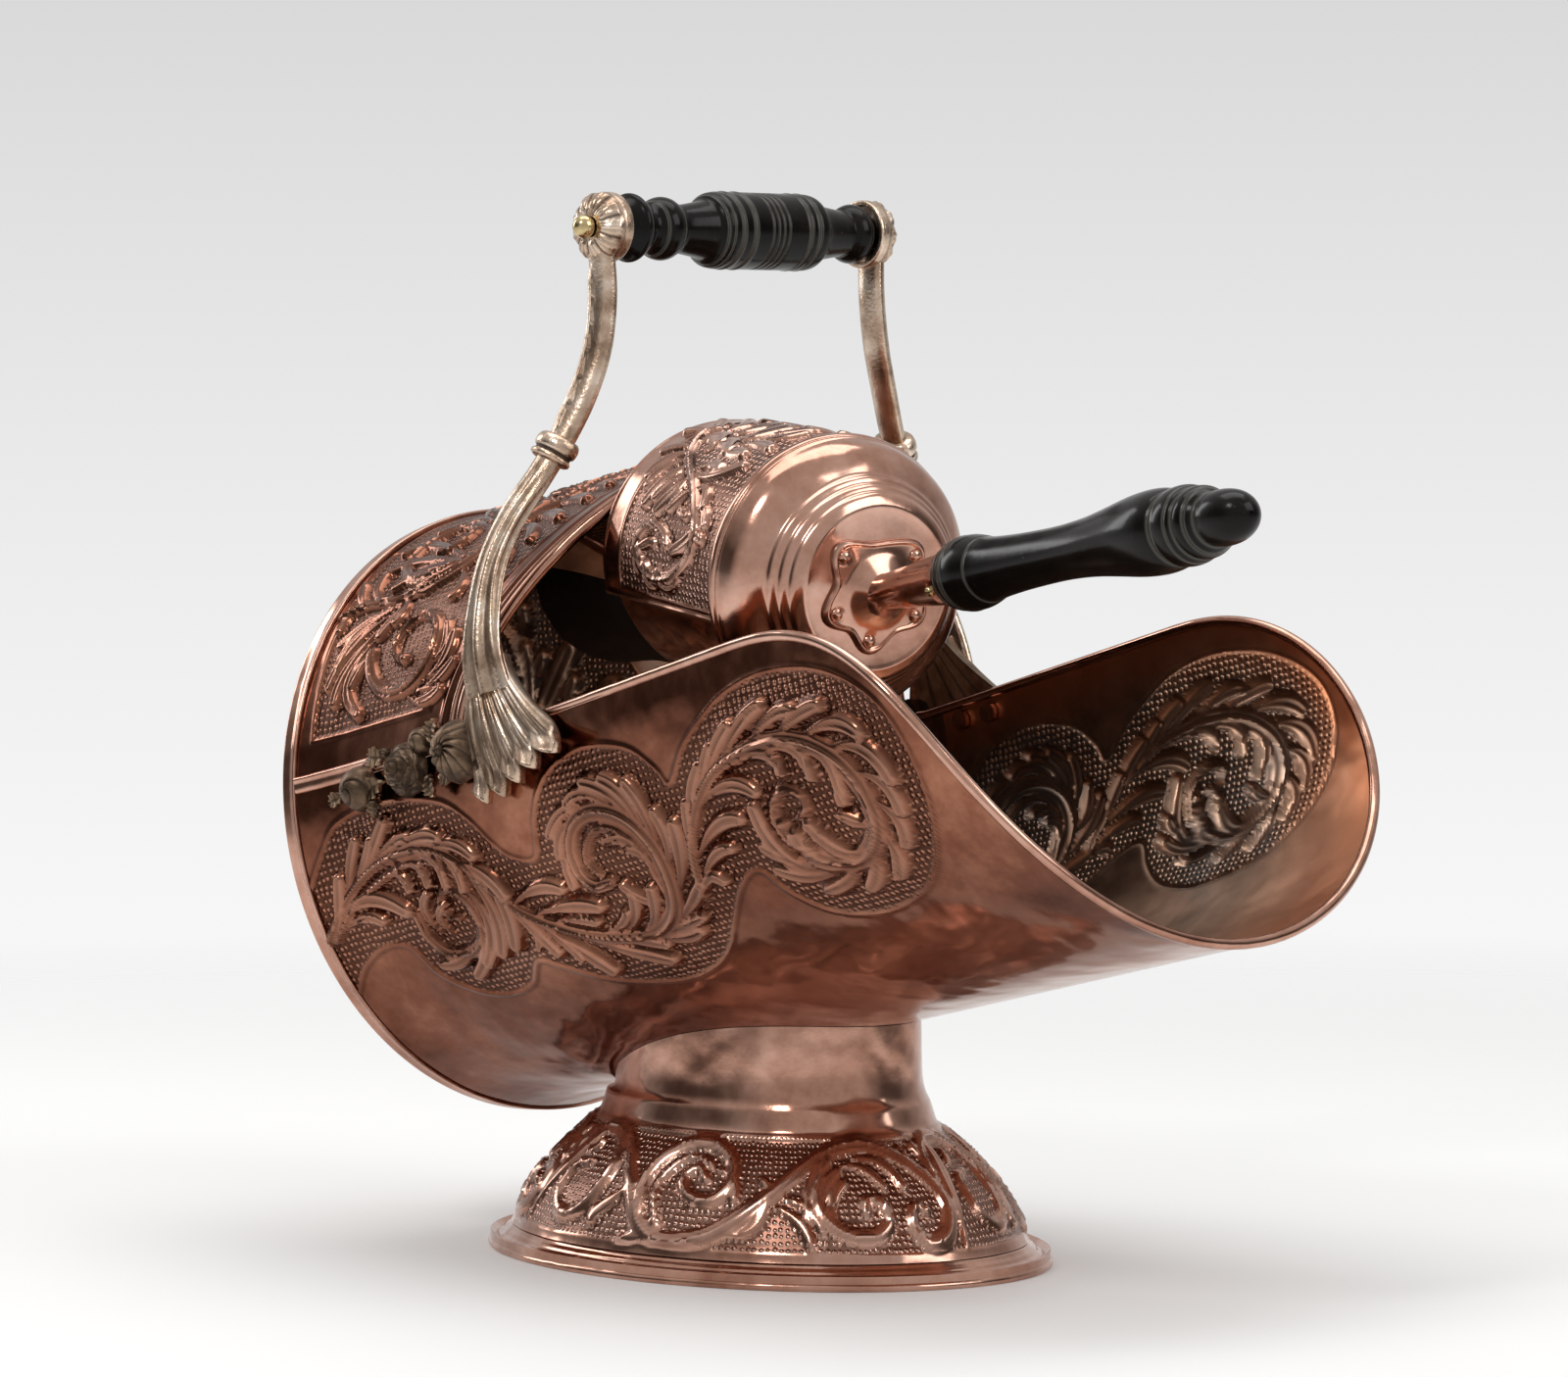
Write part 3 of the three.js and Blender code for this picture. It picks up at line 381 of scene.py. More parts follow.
def wood_material():
    """Ebonised hardwood: black-stained, waxed, worn brown on the swells, pale scratches."""
    made, tree, shader = new_material(
        "ebonised_wood", Coat_Weight=0.03, Coat_Roughness=0.08, Specular_IOR_Level=0.14
    )
    place = node(tree, "TexCoord").outputs["Object"]
    wear = node(
        tree, "TexNoise", {"Vector": place, "Scale": 38.0, "Detail": 7.0, "Roughness": 0.7}
    ).outputs[0]
    base = node(
        tree, "ValToRGB", {"Fac": wear}, stops=[(0.4, "#0A0908"), (0.6, "#110E0C"), (0.78, "#2A1F18")]
    ).outputs["Color"]
    flecks = node(
        tree, "TexNoise", {"Vector": place, "Scale": 240.0, "Detail": 4.0, "Roughness": 0.75}
    ).outputs[0]
    pale = node(
        tree, "ValToRGB", {"Fac": flecks}, stops=[(0.66, "#000000"), (0.74, "#FFFFFF")]
    ).outputs["Color"]
    dusty = node(
        tree, "Mix",
        {
            0: node(
                tree, "Math", {0: node(tree, "Attribute", attribute_name="wear").outputs["Fac"], 1: 0.55},
                operation="MULTIPLY"
            ).outputs[0],
            6: base, 7: colour("#6C6961")
        },
        data_type="RGBA"
    ).outputs[2]
    tree.links.new(
        node(
            tree, "Mix",
            {
                0: node(tree, "Math", {0: pale, 1: 0.35}, operation="MULTIPLY").outputs[0], 6: dusty,
                7: colour("#6E6656")
            },
            data_type="RGBA"
        ).outputs[2],
        shader.inputs["Base Color"],
    )
    tree.links.new(
        node(
            tree, "Math",
            {0: node(tree, "Math", {0: wear, 1: 0.24}, operation="MULTIPLY").outputs[0], 1: 0.08},
            operation="ADD"
        ).outputs[0],
        shader.inputs["Roughness"]
    )
    grain = node(
        tree, "TexNoise", {"Vector": place, "Scale": 320.0, "Detail": 3.0}
    ).outputs[0]
    bump = node(tree, "Bump", {"Height": grain, "Strength": 0.12, "Distance": 0.0004})
    tree.links.new(bump.outputs[0], shader.inputs["Normal"])
    return made


blackened_iron = iron_material()
ebonised_wood = wood_material()
SLOT_OF = {
    polished_copper: "copper",
    browned_and_shaded_copper: "copper",
    cast_bronze: "cast_bronze",
    dark_bronze: "cast_bronze",
    polished_brass: "brass",
    blackened_iron: "iron",
    ebonised_wood: "ebonised_wood",
}


# ---- Meshes ----
def grid_faces(rows, columns, start=0, wrap=False):
    """Quads of a grid of points numbered row by row; wrap joins the last column to the first."""
    j = np.arange(rows - 1)[:, None]
    i = np.arange(columns if wrap else columns - 1)[None, :]
    k = (i + 1) % columns
    corners = [j * columns + i, j * columns + k, (j + 1) * columns + k, (j + 1) * columns + i]
    return start + np.stack(
        [np.broadcast_to(c, (rows - 1, i.shape[1])) for c in corners], -1
    ).reshape(-1, 4)


def build(
    name, points, faces, materials, body="scuttle", marks=None, skins=None, replaces=(), sharp=50, weld=True
):
    """A piece from points in millimetres and quads. Its faces are turned outwards by the sign
    of the enclosed volume, equal points are merged, and marks become point attributes."""
    corner = points[faces]
    a, b, c, d = (corner[:, i] for i in range(4))
    middle = points.mean(0)
    volume = np.einsum("ij,ij->i", a - middle, np.cross(b - middle, c - middle)).sum()
    volume += np.einsum("ij,ij->i", a - middle, np.cross(c - middle, d - middle)).sum()
    if volume < 0:
        faces = faces[:, ::-1]
    mesh = bpy.data.meshes.new(name)
    place = points * MM + np.array([FOOT_X, 0, 0])
    mesh.from_pydata(place.tolist(), [], faces.tolist())
    for mark, values in (marks or {}).items():
        kind = "FLOAT_VECTOR" if values.ndim == 2 else "FLOAT"
        field = "vector" if values.ndim == 2 else "value"
        layer = mesh.attributes.new(mark, kind, "POINT")
        layer.data.foreach_set(field, values.astype(np.float32).ravel())
    for material in materials:
        mesh.materials.append(material)
    if skins is not None:
        mesh.polygons.foreach_set("material_index", skins.astype(np.int32))
    if weld:
        worked = bmesh.new()
        worked.from_mesh(mesh)
        bmesh.ops.remove_doubles(worked, verts=worked.verts, dist=2e-6)
        bmesh.ops.dissolve_degenerate(worked, edges=worked.edges, dist=1e-7)
        worked.to_mesh(mesh)
        worked.free()
    mesh.shade_smooth()
    mesh.set_sharp_from_angle(angle=rad(sharp))
    made = bpy.data.objects.new(name, mesh)
    bpy.context.scene.collection.objects.link(made)
    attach(made, body)
    if replaces:
        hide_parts(*replaces)
    return made


def build_sheet(name, outer, inner, materials, wrap=False, marks=None, **options):
    """A sheet with thickness from two grids of points, its free edges closed by strips. The
    inner skin takes the second material when there is one."""
    rows, columns = outer.shape[:2]
    count = rows * columns
    front = grid_faces(rows, columns, 0, wrap)
    back = grid_faces(rows, columns, count, wrap)[:, ::-1]
    across = np.arange(columns if wrap else columns - 1)
    after = (across + 1) % columns
    last = (rows - 1) * columns
    strips = [
        np.stack([after, across, across + count, after + count], 1),
        np.stack([across, after, after + count, across + count], 1) + last,
    ]
    if not wrap:
        down = np.arange(rows - 1) * columns
        strips.append(np.stack([down, down + columns, down + columns + count, down + count], 1))
        side = down + columns - 1
        strips.append(np.stack([side + columns, side, side + count, side + columns + count], 1))
    edge = np.concatenate(strips)
    faces = np.concatenate([front, back, edge])
    skins = np.zeros(len(faces))
    skins[len(front) : len(front) + len(back)] = len(materials) - 1
    points = np.concatenate([outer.reshape(-1, 3), inner.reshape(-1, 3)])
    doubled = {k: np.concatenate([v, v]) for k, v in (marks or {}).items()}
    return build(name, points, faces, materials, marks=doubled, skins=skins, **options)


def softened(profile, passes=2):
    """Cuts the corners of an open outline: each pass puts points at a quarter and at three
    quarters of every side and keeps both ends."""
    line = np.asarray(profile, float)
    for _ in range(passes):
        near = 0.75 * line[:-1] + 0.25 * line[1:]
        far = 0.25 * line[:-1] + 0.75 * line[1:]
        line = np.concatenate([line[:1], np.stack([near, far], 1).reshape(-1, 2), line[-1:]])
    return line


def turn_points(profile, segments, centre, axis, first):
    """Points of a turned piece: centre + axis*along + radius*(cos*first + sin*third)."""
    angle = np.arange(segments) * TAU / segments
    third = np.cross(axis, first)
    spokes = np.cos(angle)[:, None] * first + np.sin(angle)[:, None] * third
    along, radius = profile[:, 0], profile[:, 1]
    return centre + along[:, None, None] * axis + radius[:, None, None] * spokes[None]


def build_turned(name, profile, centre, axis, materials, segments=96, first=(0, 0, 1), **options):
    """A closed turned piece from an outline of (along, radius) whose ends meet or touch the
    axis."""
    axis = np.asarray(axis, float)
    first = np.asarray(first, float) - np.dot(first, axis) * axis
    first /= np.linalg.norm(first)
    points = turn_points(np.asarray(profile, float), segments, np.asarray(centre, float), axis, first)
    faces = grid_faces(len(profile), segments, 0, True)
    return build(name, points.reshape(-1, 3), faces, materials, **options)


def frames_along(line, up):
    """Side and lift at each point of a path: side = up x tangent, lift = tangent x side."""
    tangent = np.gradient(line, axis=0)
    tangent /= np.linalg.norm(tangent, axis=1)[:, None]
    side = np.cross(np.broadcast_to(up, tangent.shape), tangent)
    side /= np.linalg.norm(side, axis=1)[:, None]
    return side, np.cross(tangent, side)


def smooth_path(points, count):
    """A Catmull-Rom curve through the points, sampled evenly by point number."""
    p = np.asarray(points, float)
    p = np.concatenate([2 * p[:1] - p[1:2], p, 2 * p[-1:] - p[-2:-1]])
    t = np.linspace(0, len(p) - 3 - 1e-9, count)
    k = t.astype(int)
    f = (t - k)[:, None]
    a, b, c, d = p[k], p[k + 1], p[k + 2], p[k + 3]
    return 0.5 * (2 * b + (c - a) * f + (2 * a - 5 * b + 4 * c - d) * f**2 + (3 * b - a - 3 * c + d) * f**3)


def build_bead(name, line, radius, materials, **options):
    """A round wire along a path; its ends are closed by shrinking the last rings."""
    sides = 14
    line = np.asarray(line, float)
    side, lift = frames_along(line, np.array([0.31, 0.17, 0.93]))
    angle = np.arange(sides) * TAU / sides
    size = np.full(len(line), float(radius))
    size[[0, -1]] = 0.01
    ring = np.cos(angle)[None, :, None] * side[:, None] + np.sin(angle)[None, :, None] * lift[:, None]
    points = line[:, None] + size[:, None, None] * ring
    faces = grid_faces(len(line), sides, 0, True)
    return build(name, points.reshape(-1, 3), faces, materials, **options)


# ---- Hammered relief ----
class Relief:
    """Chased work over a sheet, laid on stroke by stroke. u and v are millimetres on the sheet.
    work is the height of the raised ornament, base that of the sheet round it."""

    def __init__(self, u, v):
        self.shape = u.shape
        self.u, self.v = u.ravel(), v.ravel()
        self.work, self.base, self.ground, self.hollow = np.zeros((4, self.u.size))

    def stroke(self, path, width, height, flutes=0.0, groove=0.0):
        """A raised bar along a path. With x the distance from the path over the half width, its
        height is height*(1-x^2)^0.85, less a groove in the middle and cosine flutes across it."""
        path = np.asarray(path, float)
        width = np.broadcast_to(np.asarray(width, float), len(path))
        height = np.broadcast_to(np.asarray(height, float), len(path))
        reach = width.max() * 1.35
        low, high = path.min(0) - reach, path.max(0) + reach
        inside = (self.u > low[0]) & (self.u < high[0]) & (self.v > low[1]) & (self.v < high[1])
        index = np.flatnonzero(inside)
        if not index.size:
            return
        spot = np.stack([self.u[index], self.v[index]], 1)
        start, run = path[:-1], np.diff(path, axis=0)
        lead = spot[:, None] - start
        share = np.clip((lead * run).sum(2) / np.maximum((run * run).sum(1), 1e-9), 0, 1)
        off = lead - share[..., None] * run
        half = width[:-1] + (width[1:] - width[:-1]) * share
        x = np.linalg.norm(off, axis=2) / half
        best = x.argmin(1)
        pick = (np.arange(len(index)), best)
        side = np.sign(run[best, 0] * off[pick][:, 1] - run[best, 1] * off[pick][:, 0])
        x, share = x[pick], share[pick]
        crest = height[best] + (height[best + 1] - height[best]) * share
        dome = np.clip(1 - x * x, 0, 1) ** 0.85
        cut = groove * np.exp(-((x / 0.3) ** 2))
        ripple = 0.5 - 0.5 * np.cos(TAU * flutes * x * side) if flutes else 0 * x
        raised = crest * dome * (1 - cut) * (1 - 0.34 * ripple)
        # The hollow mark: painted shade at the foot of each stroke, in its groove and between its flutes,
        # where the materials also put oxide.
        edge = 0.75 * np.exp(-(((x - 1.0) / 0.16) ** 2))
        shade = np.maximum(edge, np.maximum(1.6 * cut, 0.7 * ripple) * (x < 1))
        over = raised > self.work[index]
        bare = (self.work[index] <= 0) & (x >= 1)
        hollow = self.hollow[index]
        hollow[over] = shade[over]
        hollow[bare] = np.maximum(hollow[bare], edge[bare])
        self.hollow[index] = hollow
        self.work[index] = np.maximum(self.work[index], raised)

    def blade(self, base, middle, tip, width, height):
        """One finger of an acanthus leaf on a curve from base through middle to tip: a quadratic
        whose control point is 2*middle-(base+tip)/2. It leaves the stem thin, swells to a round
        tip by a sine, and carries a groove along its middle."""
        base, middle, tip = (np.asarray(spot, float) for spot in (base, middle, tip))
        t = np.linspace(0, 1, 10)[:, None]
        control = 2 * middle - (base + tip) / 2
        path = (1 - t) ** 2 * base + 2 * t * (1 - t) * control + t**2 * tip
        t = t[:, 0]
        size = 1.42 * width * (0.24 + 0.76 * np.sin(np.pi * (0.04 + 0.62 * t)) ** 1.7)
        self.stroke(path, size, height * (0.45 + 0.55 * t**0.8), groove=0.34)

    def blades(self, leaves, height, shift=0.0):
        """Fingers from rows of (base, middle, tip, width), flat; shift moves them along u."""
        for u0, v0, u1, v1, u2, v2, width in leaves:
            self.blade((u0 + shift, v0), (u1 + shift, v1), (u2 + shift, v2), width, height)

    def lobe(self, base, heading, length, width, curl, height):
        """A finger from its base on a heading that turns by the curl over its length."""
        near, far = heading + 0.25 * curl, heading + 0.5 * curl
        middle = np.asarray(base) + 0.5 * length * np.array([np.cos(near), np.sin(near)])
        tip = np.asarray(base) + length * np.array([np.cos(far), np.sin(far)])
        self.blade(base, middle, tip, width, height)

    def fan(self, base, heading, spread, count, length, width, height):
        """Fingers that spread from one base, the middle ones longest."""
        for share in np.linspace(-1, 1, count):
            size = 1 - 0.35 * abs(share)
            self.lobe(base, heading + share * spread, length * size, width * size, 0.9 * share, height)

    def ribbon(self, points, widths, height, flutes=1.5, count=70):
        """A fluted stem on a smooth curve; its half width goes evenly through the widths."""
        path = smooth_path(points, count)
        share = np.linspace(0, 1, count)
        self.stroke(path, np.interp(share, np.linspace(0, 1, len(widths)), widths), height, flutes=flutes)

    def scroll(self, centre, radii, start, sweep, width, height):
        """A fluted spiral stem that ends in a small boss. Its radius goes from radii[0] to
        radii[1] as the angle goes through the sweep."""
        s = np.linspace(0, 1, 64)
        turn = start + sweep * s
        reach = radii[0] + (radii[1] - radii[0]) * s**0.85
        path = np.stack([centre[0] + reach * np.cos(turn), centre[1] + reach * np.sin(turn)], -1)
        self.stroke(path, width * (1 - 0.5 * s), height * (1 - 0.15 * s), flutes=1.5)
        self.stroke([path[-1] - 0.01, path[-1]], 0.8 * width, height)

    def field(self, distance, depth=0.5, ridge=0.9):
        """A punched ground where the signed distance is negative, sunk by depth, with a raised
        line of Gaussian section along its border."""
        distance = np.asarray(distance).ravel()
        self.ground = np.maximum(self.ground, np.clip(-distance / 1.2 - 0.6, 0, 1))
        sunk = np.clip(0.5 - distance / 2, 0, 1)
        self.base = -depth * sunk + ridge * np.exp(-((distance / 1.15) ** 2))
        # Painted shade with oxide: a dark band beside the raised border line.
        self.hollow = np.maximum(self.hollow, 0.7 * np.exp(-(((np.abs(distance) - 1.9) / 0.8) ** 2)))

    def height(self):
        """Height of the sheet: the ornament less 0.3 mm, or the ground where that is higher."""
        return np.where(
            self.work > 0, np.maximum(self.work - 0.3, self.base), self.base
        ).reshape(self.shape)

    def marks(self):
        """Point attributes: the place on the sheet in metres, ground, hollow, and the high parts
        made lighter, partly polish from a cloth and partly a painted highlight."""
        flat = self.work <= 0
        sheet = np.stack([self.u * MM, self.v * MM, 0 * self.u], 1)
        # Painted highlight with polish: the higher the relief, the lighter.
        rub_and_sheen = np.clip(self.work / 2 - 0.9, 0, 1)
        return {
            "sheet": sheet, "ground": self.ground * flat, "hollow": np.clip(self.hollow, 0, 1), "rub_and_sheen": rub_and_sheen
        }


def outline_distance(u, v, points, count=220):
    """Signed distance to a closed smooth outline, negative inside. Inside is where a ray to the
    right crosses the outline an odd number of times."""
    line = smooth_path(list(points) + [points[0]], count)
    u, v = np.asarray(u, float).ravel(), np.asarray(v, float).ravel()
    nearest = np.full(u.shape, 1e9)
    inside = np.zeros(u.shape, bool)
    for (a, b), (c, d) in zip(line[:-1], line[1:]):
        run = (c - a) ** 2 + (d - b) ** 2
        share = np.clip(((u - a) * (c - a) + (v - b) * (d - b)) / run, 0, 1)
        nearest = np.minimum(nearest, (u - a - share * (c - a)) ** 2 + (v - b - share * (d - b)) ** 2)
        if b != d:
            crosses = ((b > v) != (d > v)) & (u < a + (v - b) * (c - a) / (d - b))
            inside ^= crosses
    return np.sqrt(nearest) * np.where(inside, -1, 1)


# ---- The trough and its coordinates ----
AXIS = np.array([np.cos(TROUGH_RISE), 0, np.sin(TROUGH_RISE)])
LIFT = np.array([-np.sin(TROUGH_RISE), 0, np.cos(TROUGH_RISE)])
SKEW = np.tan(TROUGH_RISE - PANEL_TILT)
SHEET_START = 1.3


def on_trough(along, turn, radius):
    """A place on the trough: along its axis, turned from its bottom line (positive left)."""
    along, turn, radius = np.broadcast_arrays(along, turn, radius)
    flat = PANEL_CENTRE + along[..., None] * AXIS - (radius * np.cos(turn))[..., None] * LIFT
    flat[..., 1] += radius * np.sin(turn)
    return flat


def swell(along):
    """Radius of the sheets: they widen by a square law over the last 45 mm to the rim."""
    return TROUGH_R + (PANEL_R - TROUGH_R - SHEET) * np.clip(1 - along / FLARE, 0, 1) ** 2


def edge_turn(along):
    """Half the angle that the trough covers; past MOUTH_START it closes as a superellipse."""
    side = np.interp(along, [0, HOOD_SIDE, HOOD_SIDE + 18, MOUTH_START], [SEAM, SEAM, SHOULDER, EDGE])
    share = np.clip((along - MOUTH_START) / (TROUGH_LENGTH - MOUTH_START), 0, 1)
    return np.where(along > MOUTH_START, EDGE * (1 - share**MOUTH_POWER) ** (1 / MOUTH_POWER), side)


# The cartouche's border on each side: (along, arc from the bottom line).
CARTOUCHE = [
    (-8, 188), (13, 211), (27, 222), (60, 226), (100, 219), (119, 207), (131, 193), (141, 184), (157, 181),
    (165, 199), (175, 213), (190, 221), (212, 224), (238, 218), (253, 206), (260, 197), (274, 211),
    (289, 221), (308, 230), (334, 234), (364, 230), (388, 219), (404, 203), (411, 180), (407, 155),
    (392, 131), (372, 117), (342, 111), (316, 118), (300, 133), (291, 148), (276, 144), (256, 127),
    (240, 113), (222, 104), (200, 100), (178, 103), (154, 111), (132, 125), (120, 131), (106, 120),
    (88, 117), (70, 122), (53, 137), (45, 155), (27, 158), (8, 151), (-10, 140),
]
# Leaf fingers on the cartouche: base, middle, tip, half width.
FIRST_SCROLL = [
    (2, 170, 12, 181, 20, 196, 3.4), (20, 186, 29, 199, 38, 211, 3.2), (26, 190, 40, 200, 49, 209, 2.8),
    (31, 193, 46, 203, 61, 216, 3.6), (40, 197, 62, 205, 76, 207, 2.8), (53, 199, 79, 205, 97, 203, 3.6),
    (84, 199, 104, 198, 117, 190, 3.6), (100, 191, 118, 181, 127, 168, 4.0),
    (6, 174, 32, 183, 57, 173, 4.2), (10, 172, 26, 175, 38, 171, 3.0), (46, 190, 61, 191, 66, 182, 2.2),
    (58, 193, 75, 193, 80, 182, 2.2), (70, 196, 88, 194, 92, 180, 2.4), (84, 197, 100, 190, 102, 176, 2.5),
    (108, 186, 123, 167, 116, 143, 4.4), (104, 188, 115, 164, 105, 141, 4.0),
    (100, 180, 108, 158, 92, 138, 4.0), (96, 172, 100, 150, 80, 133, 4.0), (92, 150, 76, 142, 62, 143, 3.4),
    (72, 158, 69, 170, 76, 178, 2.8), (80, 156, 77, 165, 84, 171, 2.4), (120, 172, 132, 152, 139, 134, 3.6),
    (123, 162, 133, 148, 130, 139, 2.6),
]
SECOND_SCROLL = [
    (128, 162, 149, 167, 166, 164, 3.7), (140, 155, 164, 155, 183, 151, 4.0),
    (150, 150, 166, 147, 176, 144, 2.8), (189, 136, 201, 142, 208, 152, 3.6),
    (176, 138, 190, 140, 198, 145, 2.8), (202, 134, 214, 141, 221, 153, 3.4),
    (138, 151, 152, 133, 163, 117, 4.2), (134, 156, 146, 140, 151, 128, 3.0),
    (160, 138, 184, 124, 203, 115, 4.0), (176, 134, 196, 128, 208, 124, 3.0),
    (200, 130, 219, 125, 233, 126, 3.8), (214, 130, 228, 131, 241, 133, 3.0),
    (224, 134, 240, 141, 253, 149, 3.8), (236, 148, 249, 163, 255, 179, 4.4),
    (236, 160, 246, 172, 246, 187, 3.6), (237, 168, 239, 188, 234, 203, 3.7),
    (234, 176, 231, 196, 219, 208, 3.7), (232, 182, 222, 200, 206, 209, 3.6),
    (226, 188, 208, 203, 192, 202, 3.2), (208, 196, 189, 199, 174, 190, 3.2),
    (196, 194, 182, 190, 175, 179, 3.0), (186, 186, 177, 176, 175, 164, 3.0),
    (229, 158, 224, 176, 208, 180, 3.0), (228, 150, 228, 168, 218, 174, 2.6),
    (226, 146, 215, 148, 206, 158, 3.0),
]
THIRD_SCROLL = [
    (256, 158, 262, 173, 268, 187, 3.2), (262, 168, 271, 187, 283, 201, 3.4),
    (270, 180, 283, 197, 293, 208, 3.0), (281, 190, 294, 205, 308, 215, 3.8),
    (296, 198, 312, 212, 330, 220, 3.7), (314, 203, 334, 213, 349, 215, 3.3),
    (334, 204, 352, 211, 367, 213, 3.7), (350, 201, 372, 204, 387, 197, 4.0),
    (364, 193, 386, 190, 396, 174, 4.3), (374, 180, 390, 174, 393, 159, 3.9),
    (377, 168, 388, 157, 385, 144, 4.0), (374, 154, 376, 141, 369, 130, 4.0),
    (364, 146, 359, 135, 349, 127, 3.9), (352, 141, 339, 133, 325, 131, 3.7),
    (338, 139, 320, 139, 304, 147, 3.6), (326, 146, 313, 150, 303, 159, 3.2),
    (260, 162, 280, 173, 297, 174, 4.0), (254, 150, 270, 160, 283, 162, 3.4),
    (273, 183, 296, 190, 313, 184, 3.8), (306, 197, 325, 199, 333, 189, 2.7),
    (323, 199, 344, 198, 350, 184, 3.1), (343, 197, 362, 190, 362, 170, 3.5),
    (374, 158, 366, 158, 358, 164, 2.8), (370, 150, 350, 145, 336, 163, 4.2),
    (358, 143, 334, 143, 325, 160, 4.0), (350, 141, 316, 147, 308, 177, 4.2),
    (244, 136, 258, 150, 268, 148, 3.0),
]


def trough_relief(along, arc):
    """Three leafed scrolls in a row, joined by a waving stem, on punched ground."""
    work = Relief(along, arc)
    work.field(outline_distance(along, arc, CARTOUCHE))
    work.ribbon(
        [(-4, 168), (20, 186), (42, 196), (64, 200), (82, 199), (97, 194), (109, 185), (120, 171)],
        (3, 4.6, 4.2), 3.6
    )
    work.ribbon([(2, 168), (24, 182), (48, 190), (70, 194), (90, 190), (104, 178)], (2.4, 3.4, 3.8), 3.3)
    work.ribbon(
        [
            (62, 170), (62, 158), (69, 148), (82, 145), (95, 149), (102, 160), (99, 172), (90, 178),
            (82, 173), (84, 165), (90, 163)
        ],
        (3.8, 4.4, 3.6, 2.4), 3.8
    )
    work.ribbon(
        [
            (108, 187), (119, 172), (131, 159), (147, 148), (167, 138), (189, 132), (208, 131), (224, 138),
            (233, 151), (236, 168), (230, 183), (218, 192), (203, 195), (190, 191), (182, 181), (181, 169),
            (188, 161), (199, 161)
        ],
        (3.4, 4.2, 6.2, 6.6, 5.6, 4.2), 4.0, 1.5, 120
    )
    work.ribbon(
        [(228, 150), (228, 169), (220, 182), (207, 187), (196, 183), (190, 174), (194, 166)],
        (3.4, 4.0, 2.8), 3.4
    )
    work.ribbon(
        [
            (250, 143), (255, 158), (262, 172), (274, 186), (290, 197), (308, 202), (326, 204), (343, 202),
            (358, 196), (370, 186), (376, 172), (374, 157), (364, 146), (350, 141), (335, 145), (325, 155),
            (319, 168)
        ],
        (3.2, 4.2, 6.0, 7.4, 6.6, 5.0), 4.2, 1.5, 120
    )
    work.ribbon(
        [(319, 157), (317, 171), (327, 181), (338, 178), (338, 170), (331, 168)], (3.6, 3.4, 2.8), 3.8
    )
    work.blades(FIRST_SCROLL, 5.2)
    work.blades(SECOND_SCROLL, 5.2)
    work.blades(THIRD_SCROLL, 5.4)
    return work


BELLY = 0.37  # share of the covered angle that the plain belly takes
PARTING = 212.0  # the flank's rear and front parts meet here


def stations(low, high, spacing):
    """Places along the trough; past MOUTH_START they crowd towards the lip by a sine. The first
    and last steps are short so that the parts' shading joins up."""
    straight = np.arange(low, min(high, MOUTH_START), spacing)
    rows = [[low, low + 0.15], straight[1:]]
    if high > MOUTH_START:
        count = int((TROUGH_LENGTH - MOUTH_START) / spacing * 0.88)
        turn = np.linspace(0, np.pi / 2, count)[:-1]
        rows.append(MOUTH_START + np.sin(turn) ** (2 / MOUTH_POWER) * (TROUGH_LENGTH - MOUTH_START))
        rows.append([MOUTH_START + 0.9993 * (TROUGH_LENGTH - MOUTH_START)])
    else:
        rows.append([high - 0.15, high])
    return np.unique(np.concatenate(rows))


def trough_part(name, side, station, share, relief):
    """A part of the trough sheet. Rows run along the axis and columns share out the covered
    angle; the relief is added to the radius and shows reversed inside."""
    half = edge_turn(station)[:, None]
    round_ = half * share[None]
    back = (SHEET_START - TROUGH_R * np.cos(round_) * SKEW) * (1 - station[:, None] / TROUGH_LENGTH)
    along = station[:, None] + back
    radius = swell(station)[:, None] + 0 * round_
    arc = np.abs(round_) * TROUGH_R
    marks = {}
    if relief:
        work = trough_relief(along, arc)
        radius = radius + work.height() * np.clip((half - round_) * TROUGH_R / 5 - 0.4, 0, 1)
        marks = work.marks()
    # Lighter copper near the lip and along the mouth's edges: rubbed clean by use, and inside also painted
    # light where the bowl opens out.
    lip = (
        np.clip(1.3 - (TROUGH_LENGTH - along) / 60, 0, 1)
        + np.clip(1 - (half - np.abs(round_)) * TROUGH_R / 26, 0, 1) * (station[:, None] > 150)
    )
    marks["bright"] = 0.9 * np.clip(lip, 0, 1).ravel()
    # Painted reflection: the lower sheet towards the front is mixed lighter, as a bright reflection on the
    # belly.
    painted_belly_sheen = np.clip((along - 190) / 90, 0, 1) * np.clip((0.52 - np.abs(share)[None]) / 0.12, 0, 1)
    marks["rub_and_sheen"] = np.maximum(marks.get("rub_and_sheen", 0), painted_belly_sheen.ravel())
    outer = on_trough(along, side * round_, radius)
    inner = on_trough(along, side * round_, radius - SHEET)
    build_sheet(
        name, outer, inner, [browned_and_shaded_copper, inner_copper], marks=marks, replaces=("body_shell",),
        weld=False
    )


